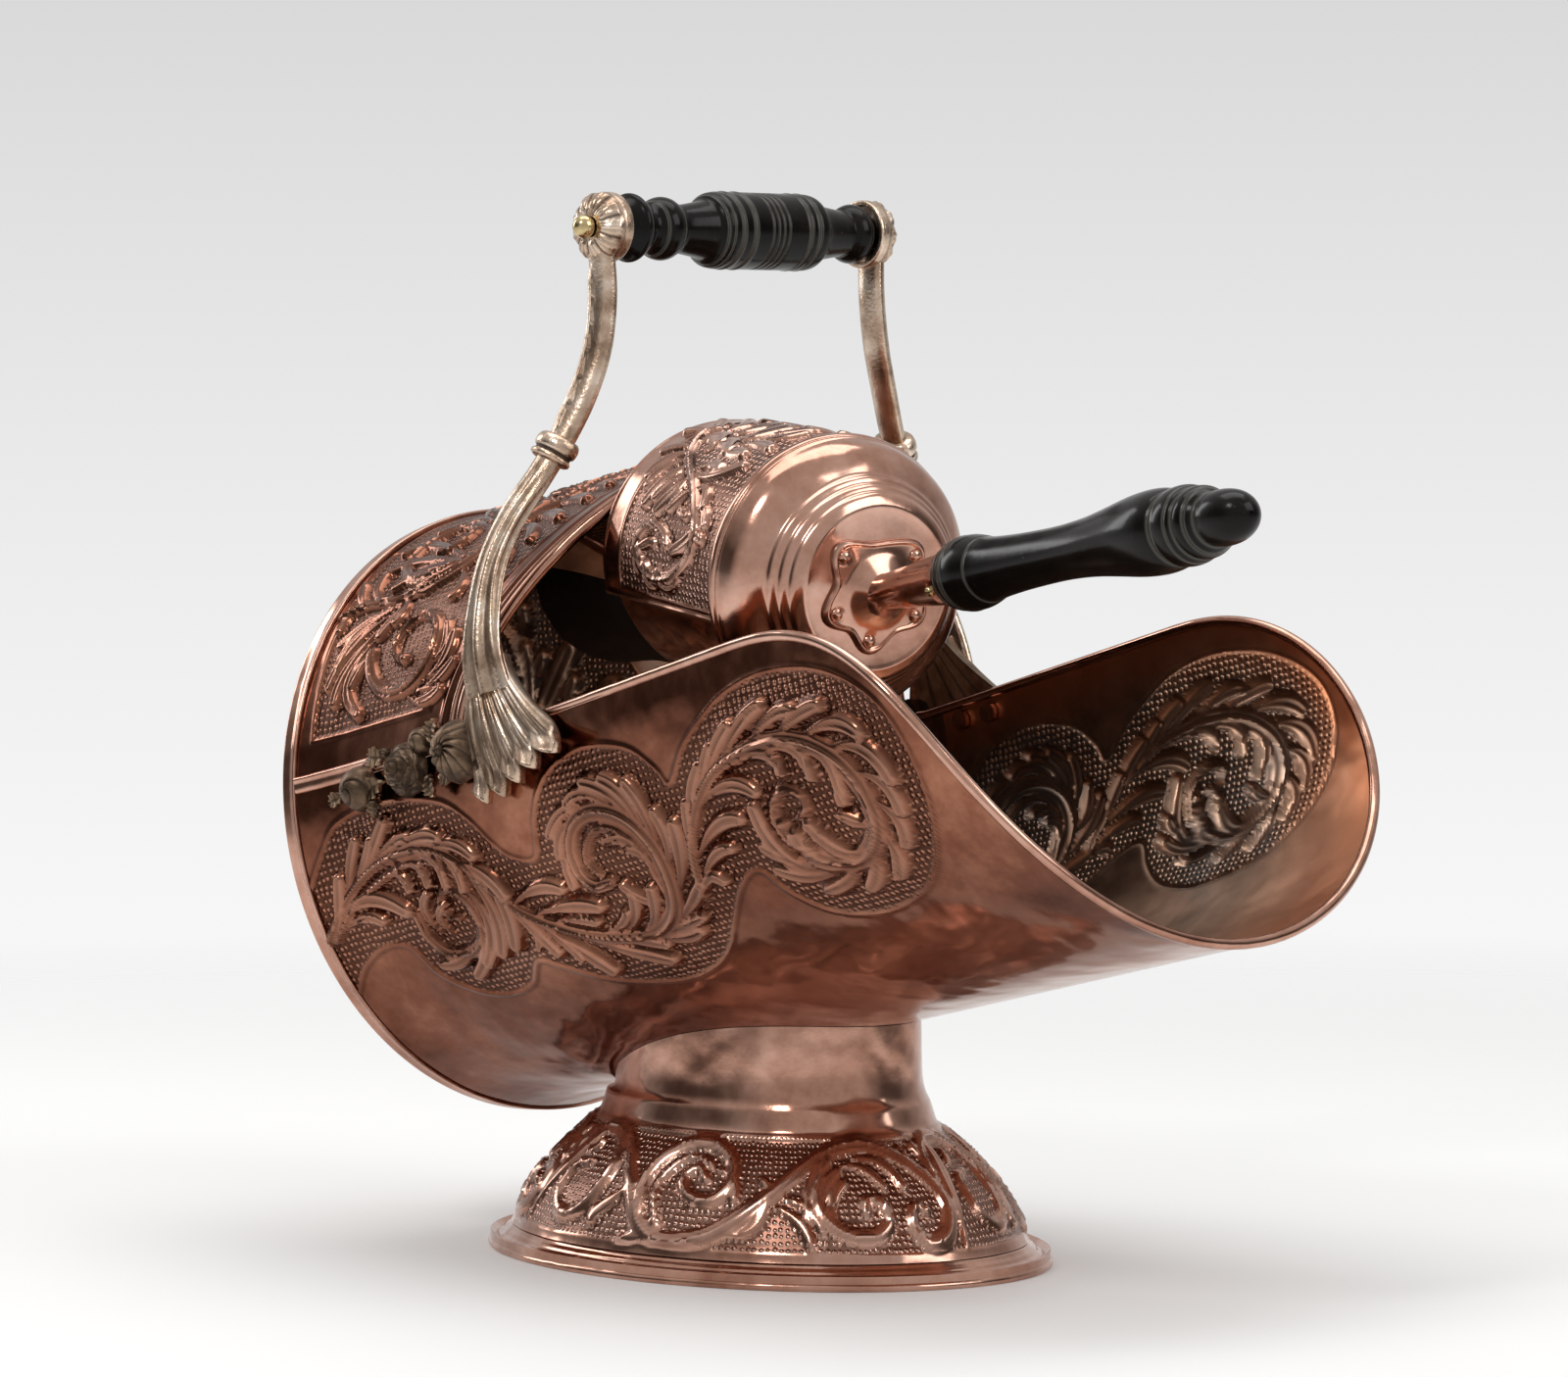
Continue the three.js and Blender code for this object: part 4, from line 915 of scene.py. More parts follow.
def build_trough():
    """The sheet in five parts: a plain belly, and a rear and a front flank on each side."""
    trough_part("trough_belly", 1, stations(0, TROUGH_LENGTH, 4.0), BELLY * np.linspace(-1, 1, 60), False)
    across = np.concatenate([[BELLY, BELLY + 0.0006], np.linspace(BELLY, 1, 152)[1:]])
    for side, label in SIDE_NAMES.items():
        trough_part(f"flank_rear_{label}", side, stations(0, PARTING, 1.0), across, True)
        trough_part(f"flank_front_{label}", side, stations(PARTING, TROUGH_LENGTH, 1.0), across, True)


build_trough()


# ---- Mouth wire ----
def beside_edge(outline, radius_at, offset):
    """A line beside a sheet's edge: each point moves off the edge within the sheet, square to
    the edge's own run, by the offset."""
    along, turn = outline
    radius = radius_at(along, turn)
    run = np.stack([np.gradient(along), np.gradient(turn) * radius], 1)
    run /= np.linalg.norm(run, axis=1)[:, None]
    return on_trough(along + run[:, 1] * offset, turn - run[:, 0] * offset / radius, radius)


def mouth_line(offset):
    """The mouth's edge from the right seam round the lip to the left one, moved by the offset."""
    straight = np.linspace(HOOD_SIDE + 10, MOUTH_START, 60)[:-1]
    turn = np.linspace(0, np.pi / 2, 70)[1:]
    along = np.concatenate(
        [straight, MOUTH_START + np.sin(turn) ** (2 / MOUTH_POWER) * (TROUGH_LENGTH - MOUTH_START)]
    )
    half = np.concatenate([edge_turn(straight), EDGE * np.cos(turn) ** (2 / MOUTH_POWER)])
    half[-1] = 0
    along = np.concatenate([along, along[-2::-1]])
    turns = np.concatenate([-half, half[-2::-1]])
    return beside_edge((along, turns), lambda a, t: np.full(a.shape, TROUGH_R - SHEET / 2), offset)


build_bead("mouth_wire", mouth_line(1.6), 2.5, [polished_copper], replaces=("body_edge_bead",))


# ---- Hood ----
def hood_share(turn):
    """Share of the way up from the seam to the crown, the same on either side."""
    folded = np.where(turn <= np.pi, turn, TAU - turn)
    return np.clip((folded - SEAM) / (np.pi - SEAM), 0, 1)


def hood_front(turn):
    """Where the hood ends: its length grows from the side to the crown as a squared sine."""
    return HOOD_SIDE + (HOOD_CROWN - HOOD_SIDE) * np.sin(np.pi / 2 * hood_share(turn) ** 0.85) ** 2


def hood_radius(along, turn):
    """The hood's radius: the rim's swell less a drop that grows with height and length."""
    return swell(along) - HOOD_DROP * hood_share(turn) * along / HOOD_CROWN


HOOD_LEAVES = [
    (58, 86, 38, 81, 21, 68, 3.0), (56, 84, 34, 75, 24, 56, 3.1), (54, 81, 32, 67, 21, 45, 3.1),
    (52, 77, 33, 56, 27, 36, 3.2), (49, 68, 35, 46, 46, 27, 3.5), (47, 60, 41, 51, 38, 43, 2.8),
    (60, 84, 56, 78, 50, 68, 3.4), (58, 88, 62, 82, 59, 74, 3.0), (96, 36, 108, 42, 112, 55, 3.6),
    (90, 30, 104, 32, 116, 40, 3.0), (98, 44, 106, 50, 104, 62, 2.8), (84, 28, 96, 24, 108, 27, 3.0),
    (30, 90, 20, 96, 15, 107, 2.8), (40, 91, 28, 100, 26, 112, 3.0), (22, 88, 16, 84, 15, 78, 2.4),
    (92, 100, 100, 88, 98, 80, 3.2), (100, 106, 112, 98, 112, 86, 3.2), (88, 100, 76, 92, 66, 90, 2.6),
    (106, 114, 120, 108, 126, 96, 3.4), (114, 124, 128, 120, 136, 108, 3.4),
    (118, 132, 134, 130, 146, 122, 3.4), (124, 140, 140, 142, 154, 136, 3.4),
    (116, 128, 110, 138, 112, 150, 3.2), (96, 106, 80, 104, 64, 96, 3.2), (92, 104, 66, 108, 42, 100, 3.2),
    (88, 106, 52, 118, 28, 116, 3.2), (84, 112, 44, 134, 24, 132, 3.3), (70, 150, 52, 158, 34, 150, 3.2),
    (78, 148, 70, 162, 54, 168, 3.2), (86, 142, 88, 158, 78, 168, 3.2), (132, 150, 146, 154, 158, 150, 3.2),
    (142, 162, 158, 166, 170, 162, 3.2), (150, 176, 166, 182, 178, 178, 3.2),
    (140, 164, 132, 178, 136, 192, 3.2), (40, 180, 28, 190, 26, 204, 3.2), (52, 182, 44, 196, 46, 208, 3.2),
    (92, 186, 90, 200, 98, 212, 3.2), (110, 190, 116, 202, 112, 214, 3.2),
]


def hood_relief(along, arc, front):
    """A branch up from the rear corner with scrolls below and above it, on punched ground that
    a raised line borders. arc is the distance up from the seam."""
    work = Relief(along, arc)
    crown = (np.pi - SEAM) * TROUGH_R
    work.field(np.max([13 - along, along - front + 24, 19.5 - arc, arc - crown - 30], axis=0))
    work.base += 1.1 * np.exp(-(((front - along).ravel() - 11) / 2.2) ** 2)
    work.ribbon(
        [
            (12, 87), (30, 91), (50, 90), (70, 92), (90, 100), (104, 112), (118, 130), (134, 150),
            (148, 172), (154, 196)
        ],
        (3, 4.2, 4.6, 4.2, 3.4), 3.6, 1.5, 90
    )
    work.scroll((78, 57), (30, 8), rad(178), rad(440), 4.8, 3.8)
    work.scroll((60, 130), (33, 8), rad(-48), rad(-410), 5.0, 3.8)
    work.scroll((112, 172), (24, 6), rad(-60), rad(500), 4.8, 3.6)
    work.scroll((52, 190), (20, 6), rad(-20), rad(-470), 4.4, 3.5)
    work.scroll((100, 205), (16, 5), rad(200), rad(430), 4.0, 3.4)
    work.blades(HOOD_LEAVES, 3.7)
    return work


def build_hood():
    """The hood sheet in two halves that meet at the crown: columns share out the angle up from
    the seam, rows run from the rim to the front edge."""
    share = np.concatenate([np.linspace(0, 1, 160)[:-1], [0.9985, 1]])[:, None]
    rise = np.concatenate([np.linspace(SEAM + 0.003, np.pi, 197)[:-1], [np.pi - 0.0008, np.pi]])[None]
    back = SHEET_START - TROUGH_R * np.cos(rise) * SKEW
    along = back + (hood_front(rise) - back) * share
    arc = np.broadcast_to((rise - SEAM) * TROUGH_R, along.shape)
    work = hood_relief(along, arc, np.broadcast_to(hood_front(rise), along.shape))
    radius = hood_radius(along, rise) + work.height() * np.clip((1 - share) * 18, 0, 1)
    marks = work.marks()
    for side, label in SIDE_NAMES.items():
        outer = on_trough(along, side * rise, radius)
        inner = on_trough(along, side * rise, radius - SHEET)
        build_sheet(
            f"hood_{label}", outer, inner, [browned_and_shaded_copper, inner_copper], marks=marks, replaces=("hood",),
            weld=False
        )


build_hood()


def hood_line(offset):
    """The hood's front edge from seam to seam, moved by the offset."""
    turn = np.linspace(SEAM + 0.02, TAU - SEAM - 0.02, 150)
    along = hood_front(turn)
    return beside_edge((along, turn), lambda a, t: hood_radius(a, t) - SHEET / 2, offset)


build_bead("hood_wire", hood_line(2.0), 3.0, [polished_copper], replaces=("hood_front_bead",))
build_bead("hood_inner_line", hood_line(-5.0), 1.6, [polished_copper])


# ---- Rolled rim and back panel ----
PANEL_AXIS = np.array([np.cos(PANEL_TILT), 0, np.sin(PANEL_TILT)])


def build_rim():
    """The grooved ring: a roll with a bright arris at its front edge."""
    profile = softened(
        [
            (0, 145), (0.8, 147), (1.2, 149.2), (0.2, 150.2), (-1.6, 149.4), (-3, 148.9), (-6.5, 149.2),
            (-8.4, 149.4), (-9, 148), (-9, 145), (-4, 144), (0, 145)
        ],
        2,
    )
    build_turned(
        "rolled_rim", profile, PANEL_CENTRE, PANEL_AXIS, [polished_copper], 260, replaces=("back_rim",)
    )


def build_panel():
    """The domed end, bossed out with a ring of scrolls round a rosette. The dome rises as one
    less the tenth power of the radius share."""
    edge = 146.5
    share = np.linspace(0, 1, 105)[:, None] ** 0.8
    angle = (np.arange(300) * TAU / 300)[None]
    reach = edge * share
    u, v = reach * np.cos(angle), reach * np.sin(angle)
    work = Relief(u, v)
    radius = np.hypot(u, v)
    work.field(np.maximum(radius - 122, 30 - radius))
    petals = 8
    for k in range(petals):
        heading = k * TAU / petals
        work.lobe((6 * np.cos(heading), 6 * np.sin(heading)), heading, 22, 6.2, 0.0, 4.2)
    work.stroke([(0, 0), (0.01, 0)], 6.5, 5.5)
    for k in range(5):
        heading = k * TAU / 5 + 0.3
        middle = np.array([78 * np.cos(heading), 78 * np.sin(heading)])
        sign = 1 if k % 2 else -1
        work.scroll(middle, (33, 7), heading + np.pi * 0.9, sign * rad(520), 6.4, 5.0)
        for step in np.arange(7):
            lean = heading + np.pi * 0.9 + sign * (0.9 + 0.62 * step)
            root = middle + (31 - 2.2 * step) * np.array([np.cos(lean), np.sin(lean)])
            work.lobe(root, lean + sign * 0.55, 19, 4.4, sign * 0.9, 4.8)
        between = heading + TAU / 10
        work.fan((40 * np.cos(between), 40 * np.sin(between)), between, 0.5, 5, 62, 6.0, 4.6)
    bulge = -RIM_WIDTH - 0.3 - DOME_HEIGHT * (1 - share**10)
    fade = np.clip((1 - share) * 12, 0, 1)
    behind = bulge - SHEET - work.height() * 1.2 * fade
    ahead = behind + SHEET
    first = np.array([0.0, 1.0, 0.0])
    third = np.cross(PANEL_AXIS, first)
    flat = PANEL_CENTRE + u[..., None] * first + v[..., None] * third
    outer = flat + behind[..., None] * PANEL_AXIS
    inner = flat + ahead[..., None] * PANEL_AXIS
    build_sheet(
        "domed_panel", outer, inner, [polished_copper, inner_copper], wrap=True, marks=work.marks(),
        replaces=("back_panel",)
    )


build_rim()
build_panel()


# ---- Seams between hood and trough ----
def build_seam(side):
    """A folded lock seam: a low rounded strip with a bead along its upper edge."""
    along = np.linspace(2.5, HOOD_SIDE - 2, 50)[:, None]
    across = np.linspace(-1, 1, 13)[None]
    turn = side * (SEAM + across * 4.2 / TROUGH_R)
    crown = (
        0.55 + 1.3 * np.sqrt(np.clip(1 - across**4, 0, 1)) + 0.9 * np.exp(-(((across - 0.55) / 0.25) ** 2))
    )
    outer = on_trough(along, turn, swell(along) + crown)
    inner = on_trough(along, turn, swell(along) + 0.5)
    name = SIDE_NAMES[side]
    build_sheet(f"lock_seam_{name}", outer, inner, [polished_copper], replaces=(f"seam_strip_{name}",))


for half in SIDE_NAMES:
    build_seam(half)


# ---- Foot ----
NECK_START = 76.0  # above this the neck is stretched to meet the trough
SCROLL_REPEAT = 280.4  # one of the three lengths of scroll round the skirt
SKIRT_HEIGHTS = [11.3, 22, 36, 51, 62, 72, 94, 150]
SKIRT_SHARES = [0.17, 0.257, 0.4, 0.622, 0.83, 0.91, 0.985, 1]


def oval(height, share, angle, grow=0.0):
    """A point of the foot: an ellipse whose axes go from the base's to the neck's by share."""
    a = (FOOT_LENGTH + (NECK_LENGTH - FOOT_LENGTH) * share) / 2 + grow
    b = (FOOT_WIDTH + (NECK_WIDTH - FOOT_WIDTH) * share) / 2 + grow
    return np.stack(np.broadcast_arrays(a * np.cos(angle), b * np.sin(angle), height), -1)


def trough_underside(x, y):
    """Height of the trough's outer surface under its axis: where the neck meets it."""
    radius = TROUGH_R + 0.2
    drop = np.sqrt(np.clip(radius**2 - y**2, 0, None)) / np.cos(TROUGH_RISE)
    return PANEL_CENTRE[2] + (x - PANEL_CENTRE[0]) * np.tan(TROUGH_RISE) - drop


SKIRT_LEAVES = [
    (104, 27, 92, 20, 80, 16, 2.8), (76, 46, 66, 36, 58, 27, 3.0), (60, 34, 56, 30, 57, 24, 3.0),
    (130, 24, 150, 26, 160, 44, 2.6), (150, 35, 160, 44, 157, 52, 2.6), (160, 40, 176, 32, 183, 20, 2.6),
    (166, 44, 182, 38, 190, 26, 2.6), (184, 18, 183, 44, 198, 64, 3.4), (190, 20, 189, 42, 204, 58, 3.0),
    (200, 22, 196, 40, 206, 52, 2.8), (250, 66, 262, 72, 258, 60, 2.6), (276, 18, 283, 44, 292, 70, 4.4),
    (268, 40, 277, 55, 276, 72, 3.4), (292, 62, 300, 60, 304, 66, 2.6), (128, 58, 138, 52, 140, 42, 2.8),
    (216, 66, 236, 64, 246, 50, 3.4), (206, 62, 222, 60, 232, 50, 2.8),
]


def skirt_relief(around, height):
    """Three lengths of running scrolls round the foot, on punched ground between two raised
    lines. Each has an oval scroll, a round one, and a large one at the end of an S."""
    work = Relief(around, height)
    work.field(np.maximum(15.5 - height, height - 78.5), depth=0.4, ridge=0.9)
    for k in range(-1, 4):
        shift = k * SCROLL_REPEAT

        def at(points):
            return [(u + shift, v) for u, v in points]

        work.ribbon(
            at(
                [
                    (40, 76), (58, 64), (74, 44), (88, 26), (104, 18), (128, 22), (150, 36), (174, 55),
                    (194, 68), (219, 75), (240, 73), (262, 60), (273, 42), (266, 25), (252, 20), (243, 28),
                    (247, 38), (256, 36)
                ]
            ),
            (3.4, 5, 6, 6, 5, 6.4, 6.6, 6, 4.4, 3.2), 3.1, 1.5, 130
        )
        work.ribbon(
            at(
                [
                    (86, 30), (81, 46), (86, 62), (100, 72), (120, 73), (134, 65), (137, 50), (127, 40),
                    (113, 42), (107, 52), (115, 58), (121, 52)
                ]
            ),
            (5, 5.4, 5, 4, 3), 3.1, 1.5, 80
        )
        work.ribbon(at([(98, 26), (92, 44), (98, 58), (110, 64), (122, 60)]), (3, 3.4, 2.6), 3.2)
        work.ribbon(
            at(
                [
                    (-6, 52), (0, 68), (20, 76), (43, 70), (52, 50), (46, 30), (30, 25), (17, 35), (18, 50),
                    (30, 54)
                ]
            ),
            (4.6, 5.6, 5.2, 4.2, 3), 3.0, 1.5, 80
        )
        work.ribbon(
            at(
                [
                    (198, 68), (189, 50), (190, 36), (201, 26), (217, 24), (228, 31), (227, 41), (218, 42),
                    (216, 36)
                ]
            ),
            (4, 5, 4.4, 3.2), 3.0, 1.5, 80
        )
        work.blades(SKIRT_LEAVES, 3.0, shift)
    return work


def build_foot():
    """The waisted foot. Rows follow the skirt's outline up to the trough; each is an oval. The
    relief is added square to the wall."""
    segments = 520
    angle = (np.arange(segments) * TAU / segments)[None]
    line = smooth_path(np.stack([SKIRT_SHARES, SKIRT_HEIGHTS], 1), 400)
    length = np.concatenate([[0], np.cumsum(np.hypot(np.diff(line[:, 0]) * 60, np.diff(line[:, 1])))])
    dense = np.concatenate([np.linspace(0, 0.62, 62), np.linspace(0.62, 1, 14)[1:]]) * length[-1]
    share = np.interp(dense, length, line[:, 0])[:, None]
    level = np.interp(dense, length, line[:, 1])[:, None]
    flat = oval(level, share, angle)
    mean = (FOOT_LENGTH + FOOT_WIDTH) / 4
    around = np.broadcast_to(angle * mean, flat.shape[:2])
    climb = np.broadcast_to(dense[:, None] + SKIRT_HEIGHTS[0], flat.shape[:2])
    work = skirt_relief(around, climb)
    slope = np.gradient(share[:, 0], level[:, 0])[:, None] * (FOOT_LENGTH - NECK_LENGTH) / 2
    tilt = np.arctan(slope)
    radial = np.stack(np.broadcast_arrays(np.cos(angle), np.sin(angle) * 1.25, 0 * level), -1)
    radial /= np.linalg.norm(radial, axis=-1)[..., None]
    normal = radial * np.cos(tilt)[..., None] + np.array([0, 0, 1.0]) * np.sin(tilt)[..., None]
    raised = np.clip((dense - 2) / 4, 0, 1)[:, None] * work.height()
    outer = flat + normal * raised[..., None]
    inner = oval(level, share, angle, -SHEET) + normal * raised[..., None]
    for skin in (outer, inner):
        under = trough_underside(skin[..., 0], skin[..., 1])
        top = level.max()
        skin[..., 2] = np.where(
            skin[..., 2] > NECK_START,
            NECK_START + (skin[..., 2] - NECK_START) * (under - NECK_START) / (top - NECK_START),
            skin[..., 2]
        )
    marks = work.marks()
    marks["hollow"] = 0.6 * marks["hollow"]
    build_sheet(
        "foot_skirt", outer, inner, [polished_copper, inner_copper], wrap=True, marks=marks,
        replaces=("foot_band",)
    )
    profile = softened(
        [
            (0.3, 7), (0.35, 0), (-0.6, 0.2), (-0.9, 2), (0.2, 3.6), (3.6, 4.6), (4.4, 6), (6.6, 6.6),
            (7.6, 8.2), (9.4, 9.2), (10.6, 11.1), (14, 11.1), (14, 7), (12, 1), (7, 0.3)
        ],
        2,
    )
    inset, up = profile[:, 0][:, None], profile[:, 1][:, None]
    segments = 280
    points = oval(up, 0, (np.arange(segments) * TAU / segments)[None], -inset)
    build(
        "foot_base", points.reshape(-1, 3),
        np.concatenate([grid_faces(len(profile), segments, 0, True), base_closing(len(profile), segments)]),
        [polished_copper], replaces=("foot_rim",)
    )


def base_closing(rows, columns):
    """Quads that join the last ring of a closed outline back to the first."""
    i = np.arange(columns)
    k = (i + 1) % columns
    last = (rows - 1) * columns
    return np.stack([last + i, last + k, k, i], 1)


build_foot()

# ---- Scoop, about its own axis with its cap's bead at 0 ----
SCOOP_CENTRE = np.array([96.41, -46.06, 324.28])
SCOOP_YAW, SCOOP_PITCH = rad(-12.1), rad(7.1)
SCOOP_TURN = np.array(Matrix.Rotation(SCOOP_YAW, 3, "Z") @ Matrix.Rotation(SCOOP_PITCH, 3, "Y"))
SCOOP_AXIS = SCOOP_TURN @ np.array([1.0, 0, 0])
SCOOP_R = 64.4
SCOOP_MOUTH = 101.0  # the hood's length from the cap's bead to the mouth
CAP_EDGE = 4.8  # how far the sheets start in from that bead
SCOOP_SIDE = rad(71)
BOSS_SEAT = 35.5
BOSS_RIVETS_OUT = 24.0  # from the scoop's axis
HANDLE_RISE = rad(15.1)
HANDLE_ROOT = SCOOP_CENTRE + 44.5 * SCOOP_AXIS
HANDLE_AXIS = SCOOP_TURN @ np.array([np.cos(HANDLE_RISE), 0, np.sin(HANDLE_RISE)])


def on_scoop(along, turn, radius):
    """A place on the scoop: along its axis, turned from its bottom line (positive left)."""
    along, turn, radius = np.broadcast_arrays(along, turn, radius)
    local = np.stack([along, radius * np.sin(turn), -radius * np.cos(turn)], -1)
    return SCOOP_CENTRE + local @ SCOOP_TURN.T


SCOOP_LEAVES = [
    (32, 77, 22, 72, 17, 60, 3.6), (30, 80, 20, 80, 12, 74, 2.6), (41, 70, 34, 62, 28, 47, 3.7),
    (36, 73, 26, 66, 22, 55, 2.8), (50, 65, 46, 56, 40, 45, 3.8), (45, 68, 38, 58, 34, 50, 2.8),
    (60, 58, 54, 54, 50, 47, 2.8), (46, 68, 63, 67, 82, 77, 3.0), (50, 70, 60, 74, 66, 72, 3.2),
    (62, 58, 70, 60, 76, 52, 2.8), (70, 50, 78, 50, 84, 44, 2.6), (75, 40, 80, 38, 84, 37, 3.0),
    (66, 52, 76, 40, 64, 29, 3.6), (62, 50, 66, 46, 60, 47, 2.6), (26, 84, 32, 93, 42, 90, 4.8),
    (40, 82, 47, 90, 57, 85, 4.6), (54, 80, 62, 84, 72, 84, 3.4), (22, 92, 14, 96, 7, 92, 3.0),
    (24, 96, 18, 106, 10, 110, 3.4), (30, 98, 30, 110, 22, 118, 3.8), (38, 98, 44, 108, 42, 120, 4.6),
    (48, 94, 58, 102, 60, 116, 4.6), (60, 90, 72, 94, 84, 92, 3.2), (64, 98, 76, 104, 82, 112, 3.4),
    (62, 104, 70, 114, 70, 126, 4.0), (52, 104, 52, 116, 52, 126, 4.6),
]


def scoop_relief(u, v):
    """A branch that curls up from a scroll near each edge to leaves over the crown, on punched
    ground between a plain band at the mouth and the cap. u runs from the mouth, v up from the
    edge."""
    work = Relief(u, v)
    work.field(np.maximum(15.5 - u, 5 - v), depth=0.3, ridge=0.7)
    work.ribbon(
        [
            (24, 100), (22, 92), (31, 79), (43, 70), (56, 62), (68, 52), (77, 40), (77, 28), (67, 19),
            (57, 15), (46, 14.5), (36, 19), (30, 27), (33, 34), (42, 38), (53, 35), (57, 30)
        ],
        (2.4, 3.0, 3.2, 3.0, 3.8, 4.8, 4.4, 4.0, 3.4, 2.6), 3.4, 1.5, 110
    )
    work.blades(
        [
            (70, 16, 60, 12, 52, 17, 3.4), (56, 13, 46, 11, 40, 18, 3.4), (42, 14, 33, 17, 34, 26, 3.2),
            (46, 26, 44, 30, 36, 27, 2.4)
        ],
        3.6
    )
    work.blades(SCOOP_LEAVES, 3.4)
    return work


def build_scoop_hood():
    """The scoop's hood: columns share out the angle over the crown, rows run from the cap to
    the mouth. The radius falls a little at the crown by the square of the cosine."""
    turn = np.linspace(SCOOP_SIDE, TAU - SCOOP_SIDE, 285)[None]
    along = (-CAP_EDGE - (SCOOP_MOUTH - CAP_EDGE) * np.linspace(0, 1, 116))[:, None]
    crown = np.clip(-np.cos(turn), 0, 1) ** 2
    base = SCOOP_R + (1.6 - 6 * crown) * (-along / 97)
    folded = np.where(turn <= np.pi, turn, TAU - turn)
    arc = np.broadcast_to((folded - SCOOP_SIDE) * SCOOP_R, base.shape)
    u = np.broadcast_to(SCOOP_MOUTH + along, base.shape)
    work = scoop_relief(u, arc)
    hem = 0.9 * np.exp(-(((arc - 1.6) / 0.9) ** 2)) + 0.5 * np.exp(-(((u - 1.0) / 0.8) ** 2))
    radius = base + work.height() * np.clip((-CAP_EDGE - along) / 2, 0, 1) + hem
    build_sheet(
        "scoop_hood_sheet",
        on_scoop(along, turn, radius),
        on_scoop(along, turn, radius - SHEET),
        [polished_copper, inner_copper],
        marks=work.marks(),
        body="scoop",
        replaces=("scoop_hood",),
    )


def build_scoop_pan():
    """The pan under the hood, and the iron blade inside it whose lip flares by a square law."""
    half = SCOOP_SIDE + rad(6)
    turn = np.linspace(-half, half, 70)[None]
    share = np.linspace(0, 1, 40)[:, None]
    front = -88 - 10 * (np.abs(turn) / half) ** 2
    along = -CAP_EDGE + (front + CAP_EDGE) * share
    pan = 62.5
    build_sheet(
        "scoop_pan_sheet",
        on_scoop(along, turn, pan),
        on_scoop(along, turn, pan - SHEET),
        [polished_copper, inner_copper],
        body="scoop",
        replaces=("scoop_pan",),
    )
    half = SCOOP_SIDE + rad(2)
    turn = np.linspace(-half, half, 90)[None]
    lip = -172 - 16 * np.cos(turn / half * np.pi / 2)
    along = -35 + (lip + 35) * np.linspace(0, 1, 90)[:, None]
    wave = 0.5 * np.sin(along / 17 + 2 * turn) * np.sin(3.1 * turn + along / 41)
    radius = (
        pan - SHEET - 0.3 + 9 * (np.clip((-along - 110) / 80, 0, None)) ** 2
        + wave * np.clip((-along - 60) / 30, 0, 1) * 0.6
    )
    build_sheet(
        "scoop_blade_sheet",
        on_scoop(along, turn, radius),
        on_scoop(along, turn, radius - SHEET),
        [blackened_iron],
        body="scoop",
        replaces=("scoop_blade",),
    )


CAP_OUTLINE = [
    (-4.2, 64.9), (-3.8, 65.9), (-2.8, 66.4), (-0.6, 66.4), (0.6, 65.9), (1.0, 65.1), (1.4, 65.1),
    (1.9, 65.5), (3.0, 65.2), (3.8, 64.6), (6.2, 64.0), (9.6, 62.8), (13.0, 60.6), (16.2, 57.4),
    (19.0, 53.8), (20.8, 51.0), (21.8, 50.2), (23.0, 50.1), (24.4, 49.2), (25.4, 47.4), (26.2, 46.8),
    (27.2, 46.7), (28.6, 45.8), (29.6, 44.2), (30.4, 43.6), (31.4, 43.4), (32.8, 42.4), (34.0, 40.6),
    (34.9, 38.8), (35.3, 37.4), (35.1, 36.2), (34.9, 34.5), (34.9, 20), (34.9, 0),
]


def build_scoop_cap():
    """The spun back: rings step it in to a flat. Shallow dents cross the rings as on the metal
    itself; the inner skin is the same outline a sheet's thickness in."""
    front = softened(CAP_OUTLINE, 1)
    back = front - np.array([SHEET * 0.9, SHEET * 0.7])
    back[:, 1] = np.clip(back[:, 1], 0, None)
    profile = np.concatenate([front, back[::-1], front[:1]])
    segments = 240
    angle = (np.arange(segments) * TAU / segments)[None]
    middle = np.exp(-(((profile[:, :1] - 15) / 12) ** 2))
    dent = 0.35 * middle * (np.sin(3 * angle + 0.8) + 0.6 * np.sin(5 * angle + 2 + profile[:, :1] * 0.12))
    dent *= profile[:, 1:] > 30
    points = on_scoop(profile[:, :1] + 0 * angle, angle, profile[:, 1:] + dent)
    build(
        "scoop_spun_cap", points.reshape(-1, 3), grid_faces(len(profile), segments, 0, True),
        [polished_copper], body="scoop", replaces=("scoop_cap",), sharp=70
    )


BOSS_ANGLES = rad(np.array([39, 142, 208, 263, 328]))


